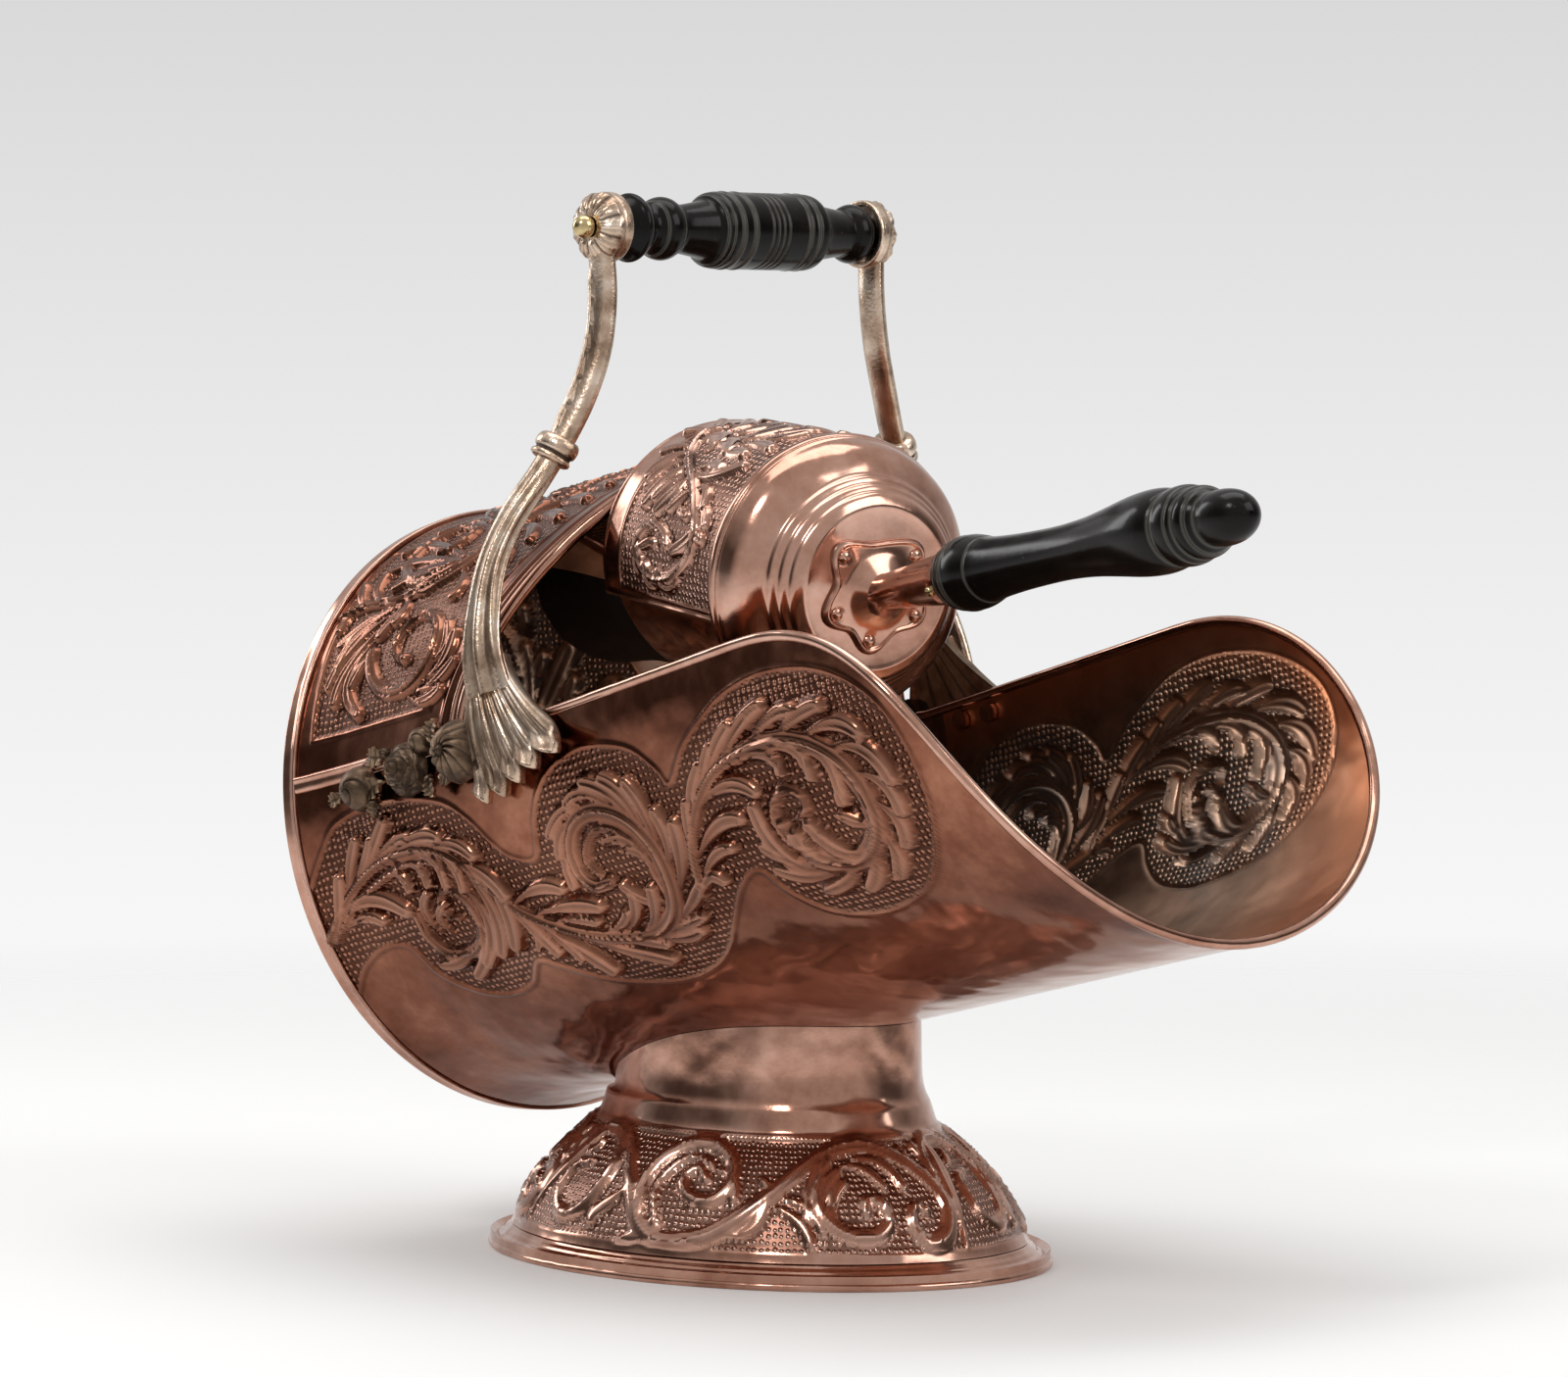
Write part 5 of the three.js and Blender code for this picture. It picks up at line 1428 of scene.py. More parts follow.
def build_boss():
    """The lobed plate: its reach grows by a high power of the cosine at each rivet; a rolled
    edge runs round it, and its middle swells up to the ferrule."""
    angle = np.linspace(0, TAU, 200, endpoint=False)[None]
    lobes = (np.clip(np.cos(angle[..., None] - BOSS_ANGLES), 0, None) ** 14).sum(-1)
    reach = 30 * (0.76 + 0.24 * np.clip(lobes, 0, 1) + 0.03 * np.cos(5 * angle + 1))
    share = np.concatenate([np.linspace(0.0, 0.85, 40), np.linspace(0.86, 1, 22)])[:, None]
    radius = reach * share
    rolled = np.sqrt(np.clip(1 - np.clip((share - 0.93) / 0.07, 0, 1) ** 2, 0, 1))
    height = 1.5 * rolled + 0.8 * np.exp(-(((share - 0.93) / 0.035) ** 2))
    height = height + 6.4 * np.exp(-((radius / 12.5) ** 3.2)) + 1.2 * np.exp(-((radius / 19) ** 4))
    y, z = radius * np.cos(angle), radius * np.sin(angle)
    for place in BOSS_ANGLES:
        off = np.hypot(y - BOSS_RIVETS_OUT * np.cos(place), z - BOSS_RIVETS_OUT * np.sin(place))
        height = height - 0.45 * np.exp(-((off / 3.6) ** 4)) * (rolled > 0.99)
    front = np.stack(np.broadcast_arrays(BOSS_SEAT + height, y, z), -1)
    back = np.stack(np.broadcast_arrays(BOSS_SEAT - 0.5 + 0 * height, y, z), -1)
    skins = [SCOOP_CENTRE + skin @ SCOOP_TURN.T for skin in (front, back)]
    hollow = np.exp(-(((share - 0.985) / 0.02) ** 2)) * 0.9 + 0 * angle
    build_sheet(
        "boss_plate", *skins, [polished_copper], wrap=True, marks={"hollow": hollow.ravel()}, body="scoop",
        replaces=("scoop_boss_plate",)
    )
    dome = np.array(
        [(0, 3.1), (0.5, 3.0), (1.3, 2.3), (1.9, 1.2), (2.1, 0.0), (-0.8, 0), (-0.8, 3.1), (0, 3.1)]
    )
    for k, place in enumerate(BOSS_ANGLES):
        centre = SCOOP_CENTRE + np.array(
            [BOSS_SEAT + 1.2, BOSS_RIVETS_OUT * np.cos(place), BOSS_RIVETS_OUT * np.sin(place)]
        ) @ SCOOP_TURN.T
        build_turned(
            f"boss_rivet_head_{k + 1}", dome, centre, SCOOP_AXIS, [polished_copper], 24, body="scoop",
            replaces=(f"boss_rivet_{k + 1}",)
        )


def resampled(outline, spacing):
    """An outline sampled evenly by length, its corners softened first."""
    line = softened(outline, 3)
    length = np.concatenate([[0], np.cumsum(np.linalg.norm(np.diff(line, axis=0), axis=1))])
    place = np.linspace(0, length[-1], int(length[-1] / spacing))
    return np.stack([np.interp(place, length, line[:, k]) for k in (0, 1)], 1)


def ringed(outline, rings, spacing=0.5):
    """A turned outline with beads and grooves: each ring adds height*exp(-((s-place)/width)^2)
    to the radius."""
    line = resampled(outline, spacing)
    for place, height, width in rings:
        line[:, 1] += height * np.exp(-(((line[:, 0] - place) / width) ** 2)) * (line[:, 1] > 3)
    return line


def turned_wood(name, line, bore, centre, axis, body, replaces, rings):
    """A turned wooden handle with a bore; wear marks its edges and its scribed rings."""
    wear = np.zeros(len(line) + 3)
    for place, _, width in rings:
        wear[: len(line)] += np.exp(-((np.abs(line[:, 0] - place) - 0.8 * width) ** 2) / (0.5 * width) ** 2)
    wear = np.clip(wear, 0, 1)
    ends = [[line[-1, 0], bore], [line[0, 0], bore]]
    closed = np.concatenate([line, ends, line[:1]])
    wear[-1] = wear[0]
    segments = 72
    marks = {"wear": np.repeat(wear, segments)}
    build_turned(
        name, closed, centre, axis, [ebonised_wood], segments, body=body, replaces=replaces, marks=marks,
        sharp=60
    )


HANDLE_OUTLINE = [
    (57.3, 4), (57.3, 12.4), (57.8, 13.6), (60.4, 14.9), (64.5, 16.2), (70, 16.9), (77, 16.9), (83, 15.7),
    (89, 14.1), (100, 13.2), (118, 12.3), (146, 11.8), (168, 12.9), (186, 15.0), (205, 17.6), (217, 18.4),
    (225, 18.2), (231, 17.1), (233, 16.1), (235.2, 16.4), (238, 17.3), (243, 17.3), (247.5, 16.4),
    (249.5, 15.3), (252, 15.7), (255, 15.3), (257.8, 13.6), (259.8, 12.0), (262.4, 11.7), (266, 12.1),
    (272, 11.8), (277.5, 10.6), (282, 8.2), (285, 5), (286, 2.5), (286.2, 0.6),
]
HANDLE_RINGS = [
    (62.6, -0.6, 0.7), (68.2, -0.7, 0.8), (70.6, 0.3, 0.8), (86.5, -0.35, 0.6), (233.4, -0.7, 0.9),
    (236.2, 0.3, 0.8), (245.6, -0.5, 0.7), (249.6, -0.6, 0.8), (256.6, -0.4, 0.7), (260.8, -0.7, 0.9),
]


def build_scoop_handle():
    """The turned handle, its conical ferrule, and the slotted screw in the ferrule's side."""
    line = ringed(HANDLE_OUTLINE, HANDLE_RINGS)
    turned_wood(
        "scoop_turned_handle", line, 0.6, HANDLE_ROOT, HANDLE_AXIS, "scoop", ("scoop_handle", "scoop_tang"),
        HANDLE_RINGS
    )
    cone = [
        (-6, 10.6), (-3, 9.3), (0.5, 8.5), (6, 8.6), (30, 10.3), (55.8, 12.15), (56.4, 12.5), (57.1, 12.4),
        (57.1, 10.8), (55, 10.7), (-6, 7), (-6, 10.6)
    ]
    build_turned(
        "ferrule_tube", softened(cone, 1), HANDLE_ROOT, HANDLE_AXIS, [polished_copper], 72, body="scoop",
        replaces=("scoop_ferrule",), sharp=40, marks={"rub_and_sheen": np.ones(72 * len(softened(cone, 1)))}
    )
    side = SCOOP_TURN @ np.array([0, -1.0, 0])
    lift = np.cross(HANDLE_AXIS, side)
    lift *= np.sign(lift[2])
    outward = side * np.cos(rad(30)) - lift * np.sin(rad(30))
    seat = HANDLE_ROOT + 51 * HANDLE_AXIS + 11.6 * outward
    share = np.linspace(0, 1, 12)[:, None]
    angle = (np.arange(32) * TAU / 32)[None]
    radius = 2.4 * share
    across = radius * np.sin(angle)
    height = (
        1.7 * np.sqrt(np.clip(1 - share**2, 0, 1)) + 0 * angle
        - 0.7 * (np.abs(across) < 0.42) * (share < 0.95)
    )
    first = HANDLE_AXIS
    second = np.cross(outward, first)
    flat = seat + (radius * np.cos(angle))[..., None] * first + across[..., None] * second
    build_sheet(
        "ferrule_screw_head", flat + height[..., None] * outward, flat - 0.6 * outward, [polished_brass],
        wrap=True, body="scoop", replaces=("ferrule_screw",)
    )


build_scoop_hood()
build_scoop_pan()
build_scoop_cap()
build_boss()
build_scoop_handle()

# ---- Grip ----
GRIP_OUTLINE = [
    (84, 4.2), (84, 8.5), (80.6, 8.6), (79.4, 11.6), (75.5, 14.4), (72, 14.3), (69, 12.8), (67.6, 11.2),
    (66, 11.1), (58, 12.2), (48, 13.8), (46.6, 15.4), (45, 17.4), (42.5, 18.3), (38, 18.4), (20, 18.4),
    (-12, 18.4), (-17.5, 18.3), (-20.5, 17.2), (-22.5, 14.6), (-24, 13.8), (-32, 12.4), (-40, 11.2),
    (-42.2, 11.4), (-43.6, 13.2), (-46.6, 14.7), (-50, 15.2), (-53.5, 14.3), (-56, 12.4), (-58.2, 10.6),
    (-61.5, 10.4), (-64, 12.2), (-66.6, 15.2), (-68.6, 16.3), (-70.6, 16.2), (-72, 14.4), (-76, 11.2),
    (-79.4, 8.6), (-84, 8.5), (-84, 4.2),
]
GRIP_RINGS = [
    (77.6, -0.5, 0.5), (38.6, -0.5, 0.5), (36.8, 0.35, 0.8), (32.6, -0.5, 0.5), (30.8, 0.35, 0.8),
    (17.5, -0.55, 0.5), (14.0, -0.55, 0.5), (10.5, -0.55, 0.5), (7.0, -0.55, 0.5), (-3.6, 0.35, 0.8),
    (-5.4, -0.5, 0.5), (-11.2, 0.35, 0.8), (-13.0, -0.5, 0.5), (-17.4, -0.4, 0.5), (-20.4, -0.5, 0.5),
    (-45.2, -0.55, 0.5), (-55.0, -0.3, 0.5), (-67.2, -0.3, 0.5),
]
turned_wood(
    "turned_grip", ringed(GRIP_OUTLINE, GRIP_RINGS, 0.42), 4.2, GRIP_CENTRE, (0, 1, 0), "grip", ("grip",),
    GRIP_RINGS
)

# ---- Brackets ----
ARM_FOOT = 3.4
ARM_SHARES = [
    (-20, 0.043, 0.972), (-18.5, 0.026, 0.862), (-18.3, 0.072, 0.751), (-20, 0.181, 0.654),
    (-24, 0.33, 0.562), (-29, 0.519, 0.47), (-34.5, 0.726, 0.378), (-37, 0.885, 0.286), (-36, 0.992, 0.189),
    (-32, 1.069, 0.092), (-27, 1.064, 0),
]


def arm_section(side, share, growth):
    """The arm's rings. Each is centre + across*a*cos + outwards*b*sin; the side that faces the
    bowl is flattened to a shallow channel. growth is added to both half axes."""
    shares = np.array(ARM_SHARES)
    route = np.stack([
        shares[:, 0],
        CUP_FLOOR + shares[:, 1] * (TROUGH_R - CUP_FLOOR),
        269 + shares[:, 2] * (486 - 269),
    ], 1)
    dense = smooth_path(route, 600)
    length = np.concatenate([[0], np.cumsum(np.linalg.norm(np.diff(dense, axis=0), axis=1))])
    length /= length[-1]
    centre = np.stack([np.interp(share, length, dense[:, k]) for k in range(3)], 1)
    ahead = np.stack([np.interp(share + 0.01, length, dense[:, k]) for k in range(3)], 1)
    behind = np.stack([np.interp(share - 0.01, length, dense[:, k]) for k in range(3)], 1)
    tangent = ahead - behind
    tangent /= np.linalg.norm(tangent, axis=1)[:, None]
    across = np.cross([0, 1, 0], tangent)
    across /= np.linalg.norm(across, axis=1)[:, None]
    outwards = np.cross(tangent, across)
    count = growth.shape[1]
    angle = (np.arange(count) * TAU / count)[None]
    widen = (1 + 1.1 * np.clip((share - 0.6) / 0.4, 0, 1) ** 1.7)[:, None]
    a = 7.7 * widen + growth
    b = 5.8 + growth
    sine = np.sin(angle)
    inner = np.where(sine < 0, 0.62 + 0 * share[:, None], 1.0)
    points = centre[:, None] + (a * np.cos(angle))[..., None] * across[:, None]
    points += (b * sine * inner)[..., None] * outwards[:, None]
    points[..., 1] *= side
    return points


def build_arm(side):
    """The swept arm: a saw-edged leaf lies on its upper outer face, and flutes run down its
    lower half into the foot's leaf."""
    rows, columns = 220, 72
    share = np.linspace(0, 1, rows)
    angle = np.arange(columns) * TAU / columns
    s, turn = share[:, None], angle[None]
    teeth = (s * 17) % 1.0
    half = rad(21) + rad(17) * teeth**1.4
    off = np.abs((turn - rad(52) + np.pi) % TAU - np.pi)
    inside = (
        np.clip((half - off) / rad(5) + 0.5, 0, 1) * np.clip((s - 0.05) / 0.03, 0, 1)
        * np.clip((0.43 - s) / 0.05, 0, 1)
    )
    edge = (
        np.exp(-(((half - off) / rad(5)) ** 2)) * np.clip((s - 0.05) / 0.03, 0, 1)
        * np.clip((0.43 - s) / 0.05, 0, 1)
    )
    leaf = inside * (1.0 + 0.35 * np.cos(off * 14))
    low = np.clip((s - 0.49) / 0.12, 0, 1)
    flute = low * (0.55 * np.cos(turn * 9 + 4 * s) + 0.25 * np.cos(turn * 4 - 1)) * (np.sin(turn) > -0.4)
    ridge = np.clip((s - 0.75) / 0.2, 0, 1) * 1.1 * np.cos(turn * 7) * (np.sin(turn) > -0.3)
    growth = leaf + flute + ridge
    growth[[0, -1]] = -4.9
    hollow = np.clip(edge * 0.8 + low * 0.5 * (1 - np.clip(flute + 0.6, 0, 1)), 0, 1)
    points = arm_section(side, share, growth)
    name = SIDE_NAMES[side]
    build(
        f"arm_{name}", points.reshape(-1, 3), grid_faces(rows, columns, 0, True), [cast_bronze],
        marks={"hollow": hollow.ravel()}, replaces=(f"bracket_{name}",), sharp=60,
    )
    place = np.array(
        [
            -0.028, -0.027, -0.022, -0.012, -0.002, 0.004, 0.006, 0.009, 0.012, 0.014, 0.018, 0.023, 0.026,
            0.027
        ]
    )
    size = np.array([0.2, 2.6, 3.9, 4.6, 4.5, 3.9, 2.9, 2.7, 2.9, 3.5, 4.1, 3.9, 2.6, 0.2])
    columns = 64
    growth = np.repeat(size[:, None], columns, 1)
    points = arm_section(side, 0.455 + place, growth)
    hollow = np.repeat(np.where(np.abs(place - 0.0085) < 0.004, 1.0, 0.0)[:, None], columns, 1)
    build(
        f"collar_{name}", points.reshape(-1, 3), grid_faces(len(place), columns, 0, True), [cast_bronze],
        marks={"hollow": hollow.ravel()}, replaces=(f"arm_collar_{name}",), sharp=60
    )


def build_leaf(side):
    """The acanthus foot of the arm: lobes spread down and ahead, each with a rib down its middle
    and a toe that curls off the trough. u runs across it and t from the arm to the toes."""
    t = np.linspace(0, 1, 84)[:, None]
    u = np.linspace(-1, 1, 112)[None]
    lobes = 5
    phase = (u + 1) / 2 * lobes
    tooth = 1 - np.abs((phase % 1.0) * 2 - 1)
    reach = 0.87 + 0.13 * tooth**0.6 - 0.05 * (u < -0.6)
    down = t * reach
    turn = rad(109) - (rad(20) + rad(8) * (1 - u) / 2) * down
    half = (21 + 40 * down**1.3) / 2 + (8 if side < 0 else 18) * np.clip(-u, 0, 1) * np.sin(np.pi * down)
    middle = 153 + 21 * down**1.3
    ahead = 9 * np.clip(u, 0, 1) ** 2 * down**2
    along = middle + half * u + ahead
    crown = 5 * (1 - 0.55 * u * u) + 3.8 * (1 - down)
    rib = 1.0 * (tooth**0.8 - 0.4) * np.clip(down * 1.4 + 0.25, 0, 1)
    fine = 0.6 * np.cos(phase * TAU * 3) * np.clip(1.2 - down, 0, 1)
    toe = (6 + 3 * np.clip(u, 0, 1)) * np.clip((t - 0.8) / 0.2, 0, 1) ** 1.8
    edge = np.clip((1 - t) / 0.04, 0, 1) ** 0.5 * np.clip((1 - np.abs(u)) / 0.05, 0, 1) ** 0.5
    lift = (crown + rib + fine) * (0.25 + 0.75 * edge) + toe
    outer = on_trough(along, side * turn, TROUGH_R + ARM_FOOT + lift)
    inner = on_trough(along, side * turn, TROUGH_R + ARM_FOOT - 0.2 + 0.75 * toe)
    hollow = np.clip(1 - tooth * 2.4, 0, 1) * 0.85 + 0 * t
    name = SIDE_NAMES[side]
    build_sheet(
        f"leaf_foot_{name}", outer, inner, [cast_bronze], marks={"hollow": hollow.ravel()},
        replaces=(f"bracket_{name}",), sharp=70
    )


def build_cup(side):
    """The socket: a shallow cup open to the grip. On its outer face nine leaves radiate; their
    height is a power of the cosine round the axis."""
    line = resampled(
        [
            (79.8, 14.4), (79.9, 15.9), (80.4, 16.4), (82, 16.5), (84.6, 16.5), (85.4, 16.1), (86.2, 16.2),
            (88.2, 15.6), (90.6, 13.8), (92.6, 11.2), (93.6, 8.4), (93.8, 6), (93.8, 4.4), (84.3, 4.4),
            (84.3, 13.6), (83.6, 14.0), (79.8, 14.0), (79.8, 14.4),
        ],
        0.35
    )
    segments = 108
    angle = (np.arange(segments) * TAU / segments)[None]
    y, r = line[:, :1], line[:, 1:]
    petal = np.abs(np.cos(4.5 * angle))
    zone = np.clip((y - 86.4) / 1.2, 0, 1) * np.clip((r - 6.2) / 2, 0, 1)
    swirl = np.abs(np.cos(4.5 * (angle + 0.02 * (r - 10)))) ** 0.7
    lift = zone * (1.5 * swirl - 0.3 + 0.3 * np.cos(27 * angle) * petal)
    radius = r + lift * 0.6
    place = y + lift * 0.75
    points = np.stack(
        np.broadcast_arrays(radius * np.cos(angle), side * place, radius * np.sin(angle)), -1
    ) + GRIP_CENTRE
    hollow = zone * np.clip(1 - 2.2 * petal, 0, 1) + 0.6 * np.exp(-(((y - 85.5) / 0.5) ** 2)) * (r > 15)
    hollow = hollow + 0.5 * (r < 13.9) * (y < 84.5) + 0 * angle
    name = SIDE_NAMES[side]
    build(
        f"cup_{name}", points.reshape(-1, 3), grid_faces(len(line), segments, 0, True), [cast_bronze],
        marks={"hollow": hollow.ravel()}, replaces=(f"bracket_{name}",), sharp=60
    )
    turn = np.linspace(0.62, np.pi, 24)
    ball = np.stack([97.0 - 5.4 * np.cos(turn), 5.5 * np.sin(turn)], 1)
    ball[-1, 1] = 0
    ball = np.concatenate([[[93.9, 0], [93.9, 3.6], [94.4, 4.2]], ball[ball[:, 0] > 94.2]])
    build_turned(
        f"ball_nut_{name}", ball, GRIP_CENTRE, (0, side, 0), [polished_brass], 48,
        replaces=(f"dome_nut_{name}",)
    )


def bloom(name, along, degrees, size, kind, side):
    """A cast flower on a polar grid. Layered: each of four rings of petals steps up inside a
    scalloped edge. Swirled: flutes wind round a hollow heart. Bud: petals wrap a dome."""
    share = np.linspace(0, 1, 38)[:, None]
    angle = (np.arange(78) * TAU / 78)[None]
    dome = np.sqrt(np.clip(1 - share**2, 0, 1))
    hollow = 0 * share + 0 * angle
    if kind == "layered":
        height = 0.42 * dome + 0 * angle
        for k, (ring, petals) in enumerate(((0.97, 5), (0.74, 5), (0.5, 4), (0.26, 3))):
            edge = ring * (1 - 0.14 * (1 - np.abs(np.sin(petals / 2 * (angle - 0.7 * k)))))
            height = height + 0.12 * np.clip((edge - share) / 0.035, 0, 1)
            height = height + 0.07 * np.exp(-(((edge - share - 0.03) / 0.04) ** 2))
            hollow = np.maximum(hollow, np.exp(-(((edge - share + 0.035) / 0.03) ** 2)))
    elif kind == "swirled":
        flute = np.abs(np.sin(5.5 * (angle + 1.1 * share)))
        bowl = np.sin(np.pi * np.clip(0.18 + 0.82 * share, 0, 1)) ** 0.7
        height = 0.35 * dome + 0.52 * bowl * (0.72 + 0.28 * flute) + 0.25 * np.exp(-((share / 0.12) ** 2))
        hollow = np.clip(1 - 2.6 * flute, 0, 1) * (share > 0.15) + np.exp(-(((share - 0.2) / 0.06) ** 2))
    else:
        wrap = np.abs(np.sin(1.5 * (angle + 2.6 * share)))
        height = 0.98 * dome * (0.86 + 0.14 * np.clip(wrap * 2.2, 0, 1))
        hollow = np.clip(1 - 3 * wrap, 0, 1) * (share > 0.05)
    height = height * np.clip((1 - share) / 0.05, 0, 1) ** 0.5
    rim = 1 + 0.07 * np.abs(np.cos(3.5 * angle)) * share**4
    base = on_trough(np.float64(along), np.float64(side * rad(degrees)), np.float64(TROUGH_R + 2.6))
    out = on_trough(np.float64(along), np.float64(side * rad(degrees)), np.float64(TROUGH_R + 3.6)) - base
    first = AXIS
    second = np.cross(out, first)
    flat = (
        base + (size * share * rim * np.cos(angle))[..., None] * first
        + (size * share * rim * np.sin(angle))[..., None] * second
    )
    outer = flat + ((size + 1.5) * height + 0.2)[..., None] * out
    label = SIDE_NAMES[side]
    build_sheet(
        f"{name}_{label}", outer, flat - 0.3 * out, [dark_bronze], wrap=True,
        marks={"hollow": np.clip(hollow * 0.7 + 0.42 + 0 * share, 0, 1).ravel()},
        replaces=(f"rose_spray_{label}",), sharp=80,
    )


def build_spray(side):
    """Roses, buds, berries and leaves strung along the seam behind the foot."""
    bloom("rose_open", 127, 94.0, 14.5, "swirled", side)
    bloom("rose_mid", 88, 93.4, 12.5, "layered", side)
    bloom("rose_bud", 52, 92.4, 10.5, "bud", side)
    bloom("rose_small", 100, 97.8, 6.5, "bud", side)
    bloom("berry_one", 110, 99.3, 3.2, "bud", side)
    bloom("berry_two", 72, 97.4, 3.0, "bud", side)
    bloom("berry_three", 143, 90.4, 5.0, "bud", side)
    label = SIDE_NAMES[side]
    leaves = (
        (70, 92.5, 200, 13), (74, 96.5, 170, 12), (104, 91.5, -70, 12), (112, 91.2, -20, 13),
        (108, 96.6, 60, 12), (66, 90.4, -110, 11), (40, 91.8, 190, 9)
    )
    for k, (along, degrees, heading, length) in enumerate(leaves):
        t = np.linspace(0, 1, 22)[:, None]
        w = np.linspace(-1, 1, 17)[None]
        spread = 0.36 * length * np.sin(np.pi * np.clip(t, 0.02, 0.98)) ** 0.8 * (1 + 0.16 * np.cos(t * 26))
        run, cross = length * t, spread * w
        place = along + run * np.cos(rad(heading)) - cross * np.sin(rad(heading))
        turn = rad(degrees) + (run * np.sin(rad(heading)) + cross * np.cos(rad(heading))) / TROUGH_R
        lift = (
            3.4 + 3.2 * np.sin(np.pi * t * 0.8) + 1.1 * np.abs(w) ** 1.2 - 0.6 * np.cos(t * 30) * np.abs(w)
        )
        outer = on_trough(place, side * turn, TROUGH_R + lift + 1.0)
        inner = on_trough(place, side * turn, TROUGH_R + lift - 0.5)
        hollow = np.exp(-((w / 0.16) ** 2)) * 0.8 + 0 * t
        build_sheet(
            f"spray_leaf_{k + 1}_{label}", outer, inner, [dark_bronze], marks={"hollow": hollow.ravel()},
            replaces=(f"rose_spray_{label}",), sharp=80
        )


for half in SIDE_NAMES:
    build_arm(half)
    build_leaf(half)
    build_cup(half)
    build_spray(half)

# ---- CAD nodes that keep their shape ----
FINISH_OF_SLOT = {slot: material for material, slot in reversed(SLOT_OF.items())}
for part in frame["record"]["subparts"]:
    kept = frame["nodes"][part["node"]]
    kept.data.materials.clear()
    kept.data.materials.append(FINISH_OF_SLOT[part["material_slot"]])


# ---- Studio: floor, backdrop, lights, camera ----
def build_floor():
    """A pale floor that fades out with distance, so that the backdrop meets it without a line."""
    made, tree, shader = new_material("pale_floor", Roughness=0.6)
    shader.inputs["Base Color"].default_value = colour("#F4F4F3")
    shader.inputs["Specular IOR Level"].default_value = 0.2
    place = node(tree, "TexCoord").outputs["Object"]
    reach = node(tree, "VectorMath", {0: place}, operation="LENGTH").outputs["Value"]
    fade = node(tree, "MapRange", {"Value": reach, "From Min": 0.7, "From Max": 1.9}).outputs[0]
    clear = node(tree, "BsdfTransparent")
    blend = node(tree, "MixShader", {0: fade, 1: shader.outputs[0], 2: clear.outputs[0]})
    tree.links.new(blend.outputs[0], tree.nodes["Material Output"].inputs["Surface"])
    half = 2.2
    mesh = bpy.data.meshes.new("floor")
    mesh.from_pydata(
        [(-half, -half, 0), (half, -half, 0), (half, half, 0), (-half, half, 0)], [], [(0, 1, 2, 3)]
    )
    mesh.materials.append(made)
    floor = bpy.data.objects.new("floor", mesh)
    bpy.context.scene.collection.objects.link(floor)


CAMERA_TURN = rad(47)
PITCH = rad(2.56)
LENS = 139.43
EYE_RIGHT, EYE_BACK, EYE_UP = 0.00805, 2.8817, 0.39758  # metres
RIGHT = np.array([np.cos(CAMERA_TURN), np.sin(CAMERA_TURN), 0])
BACK = np.array([np.sin(CAMERA_TURN), -np.cos(CAMERA_TURN), 0])
UP = np.array([0, 0, 1.0])


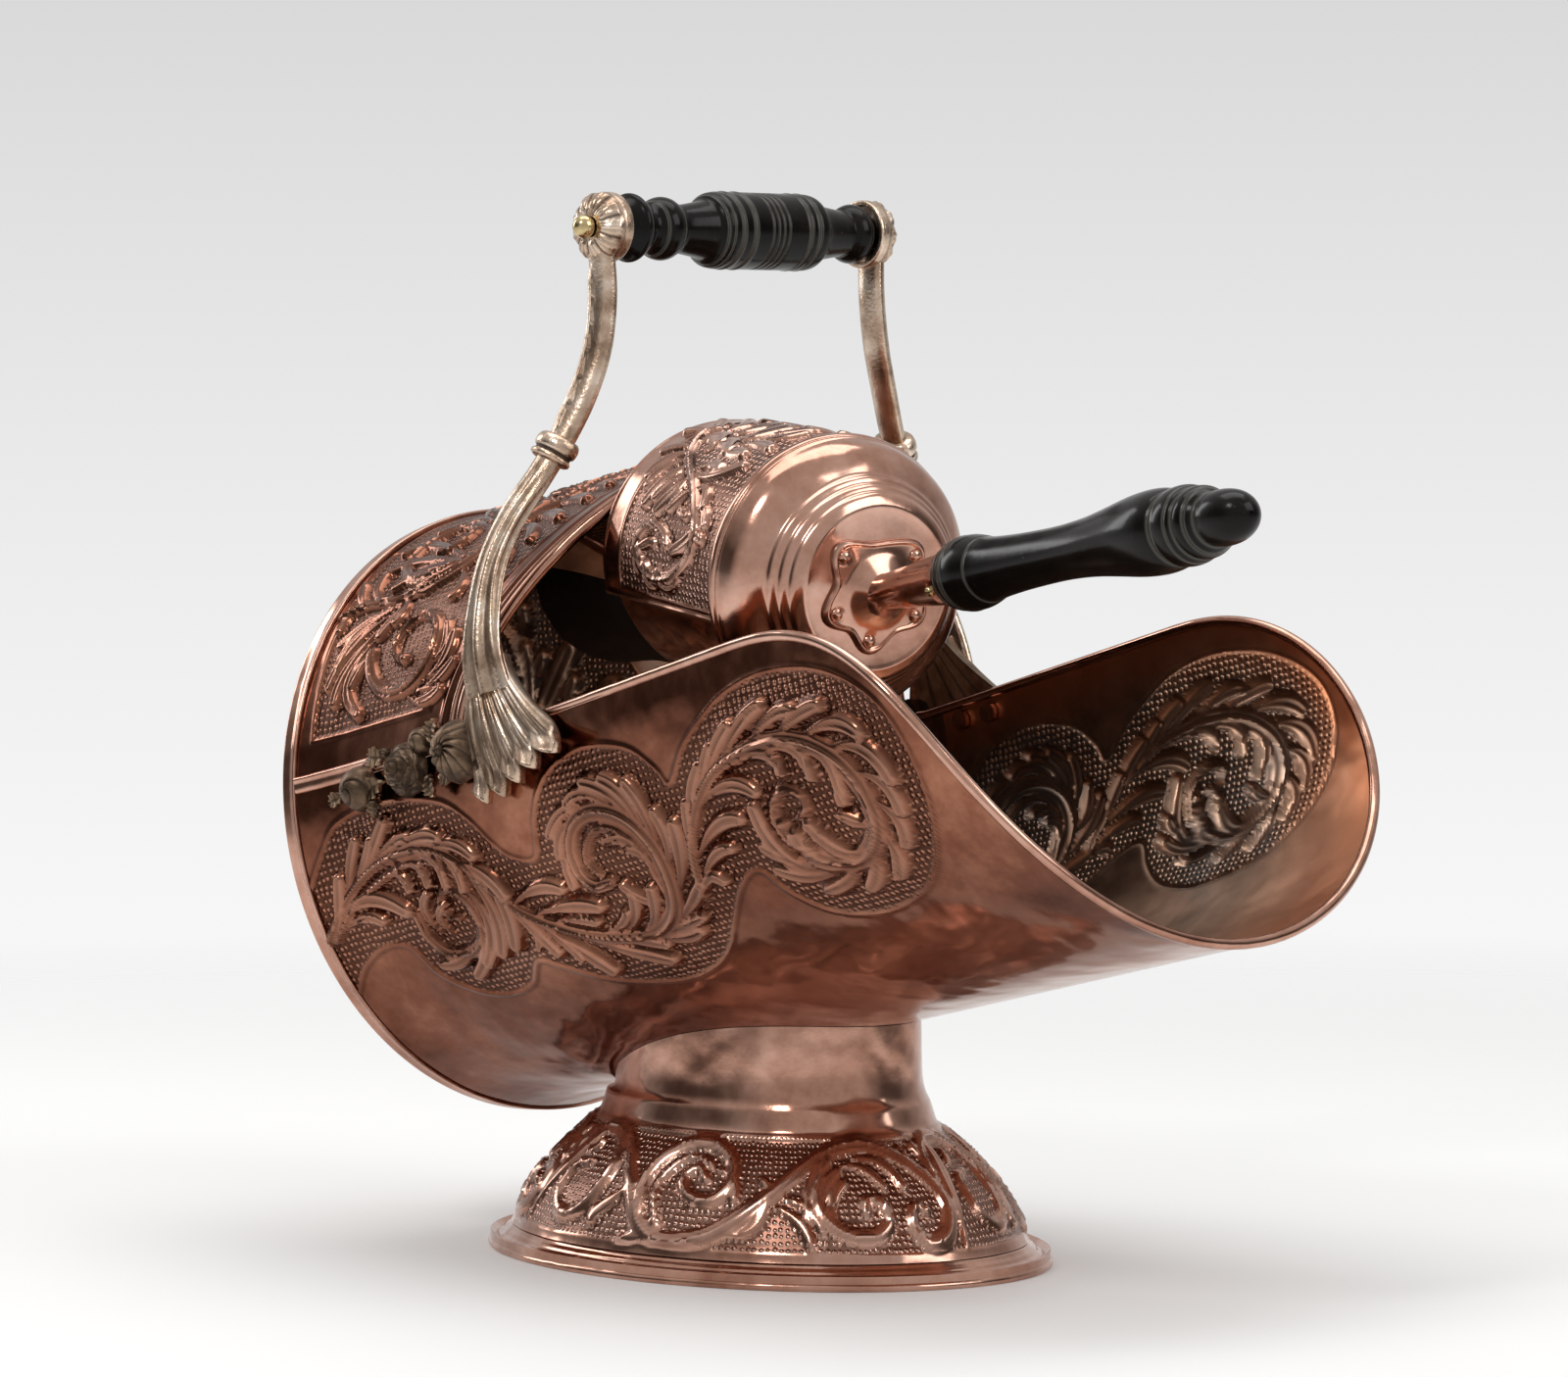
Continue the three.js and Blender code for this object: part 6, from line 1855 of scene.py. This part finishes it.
def build_world():
    """A studio surround. The camera sees a grey sweep that pales downwards. Metal does not see
    that sweep but a room of its own: pale behind the scuttle, dim beside it and towards the
    camera, under a pale ceiling. Matt surfaces are lit evenly, which keeps the floor pale."""
    world = bpy.data.worlds.new("studio")
    world.use_nodes = True
    bpy.context.scene.world = world
    tree = world.node_tree
    tree.nodes.clear()
    direction = node(tree, "TexCoord").outputs["Generated"]
    split = node(tree, "SeparateXYZ", {0: direction})
    climb = node(
        tree, "MapRange", {"Value": split.outputs[2], "From Min": -0.157, "From Max": 0.072}
    ).outputs[0]
    sweep = node(
        tree, "ValToRGB", {"Fac": climb},
        stops=[(0.0, "#FEFEFE"), (0.35, "#F6F6F6"), (0.6, "#ECECEC"), (1.0, "#D8D8D8")]
    ).outputs["Color"]
    behind = node(
        tree, "VectorMath", {0: direction, 1: tuple(BACK)}, operation="DOT_PRODUCT"
    ).outputs["Value"]
    room = node(
        tree, "ValToRGB",
        {"Fac": node(tree, "MapRange", {"Value": behind, "From Min": -1.0, "From Max": 1.0}).outputs[0]},
        stops=[(0.0, "#DCDCDC"), (0.32, "#9A9A9A"), (0.44, "#55514E"), (0.7, "#5C5956"), (0.9, "#CCCAC8")]
    ).outputs["Color"]
    under = node(
        tree, "MapRange", {"Value": split.outputs[2], "From Min": 0.02, "From Max": -0.16}
    ).outputs[0]
    over = node(tree, "MapRange", {"Value": split.outputs[2], "From Min": 0.3, "From Max": 0.72}).outputs[0]
    around = node(
        tree, "Mix",
        {
            0: under,
            6: node(tree, "Mix", {0: over, 6: room, 7: colour("#D6D4D2")}, data_type="RGBA").outputs[2],
            7: colour("#E4E4E4")
        },
        data_type="RGBA"
    ).outputs[2]
    light = node(tree, "LightPath")
    seen = node(
        tree, "Math", {0: light.outputs["Is Camera Ray"], 1: light.outputs["Is Transmission Ray"]},
        operation="MAXIMUM"
    ).outputs[0]
    shown = node(tree, "Background", {"Color": sweep, "Strength": 1.0})
    spread = node(
        tree, "Mix", {0: light.outputs["Is Diffuse Ray"], 6: around, 7: colour("#CECECE")}, data_type="RGBA"
    ).outputs[2]
    felt = node(tree, "Background", {"Color": spread, "Strength": 1.0})
    both = node(tree, "MixShader", {0: seen, 1: felt.outputs[0], 2: shown.outputs[0]})
    node(tree, "OutputWorld", {"Surface": both.outputs[0]})


def add_softbox(name, across, back, height, width, tall, power):
    """A rectangular soft lamp, placed by its distances along the camera's own right and back
    directions, pointed at the scuttle's middle."""
    lamp = bpy.data.lights.new(name, "AREA")
    lamp.shape, lamp.size, lamp.size_y, lamp.energy = "RECTANGLE", width, tall, power
    made = bpy.data.objects.new(name, lamp)
    place = RIGHT * across + BACK * back + UP * height
    aim = np.array([0, 0, 0.26]) - place
    made.rotation_mode = "QUATERNION"
    made.rotation_quaternion = Vector(aim).to_track_quat("-Z", "Y")
    made.location = place + np.array([FOOT_X, 0, 0])
    bpy.context.scene.collection.objects.link(made)


def build_camera():
    """Looks along -BACK, pitched down, without roll."""
    lens = bpy.data.cameras.new("camera")
    lens.sensor_width, lens.lens = 36.0, LENS
    lens.clip_start, lens.clip_end = 0.1, 50.0
    eye = RIGHT * EYE_RIGHT + BACK * EYE_BACK + UP * EYE_UP
    forward = -BACK * np.cos(PITCH) - UP * np.sin(PITCH)
    top = UP * np.cos(PITCH) - BACK * np.sin(PITCH)
    rows = Matrix([[*RIGHT], [*top], [*-forward]]).transposed().to_4x4()
    rows.translation = eye + np.array([FOOT_X, 0, 0])
    made = bpy.data.objects.new("camera", lens)
    made.matrix_world = rows
    bpy.context.scene.collection.objects.link(made)
    bpy.context.scene.camera = made


build_floor()
build_world()
add_softbox("key_softbox", 1.5, 1.0, 1.5, 1.2, 1.2, 14)
add_softbox("fill_softbox", -1.0, 1.3, 1.8, 0.45, 0.45, 9)
add_softbox("top_softbox", 0.0, -0.2, 1.9, 1.5, 0.9, 11)
add_softbox("rear_softbox", -1.5, -0.9, 1.0, 0.4, 1.0, 6)
build_camera()
view_settings = bpy.context.scene.view_settings
view_settings.view_transform = "Standard"
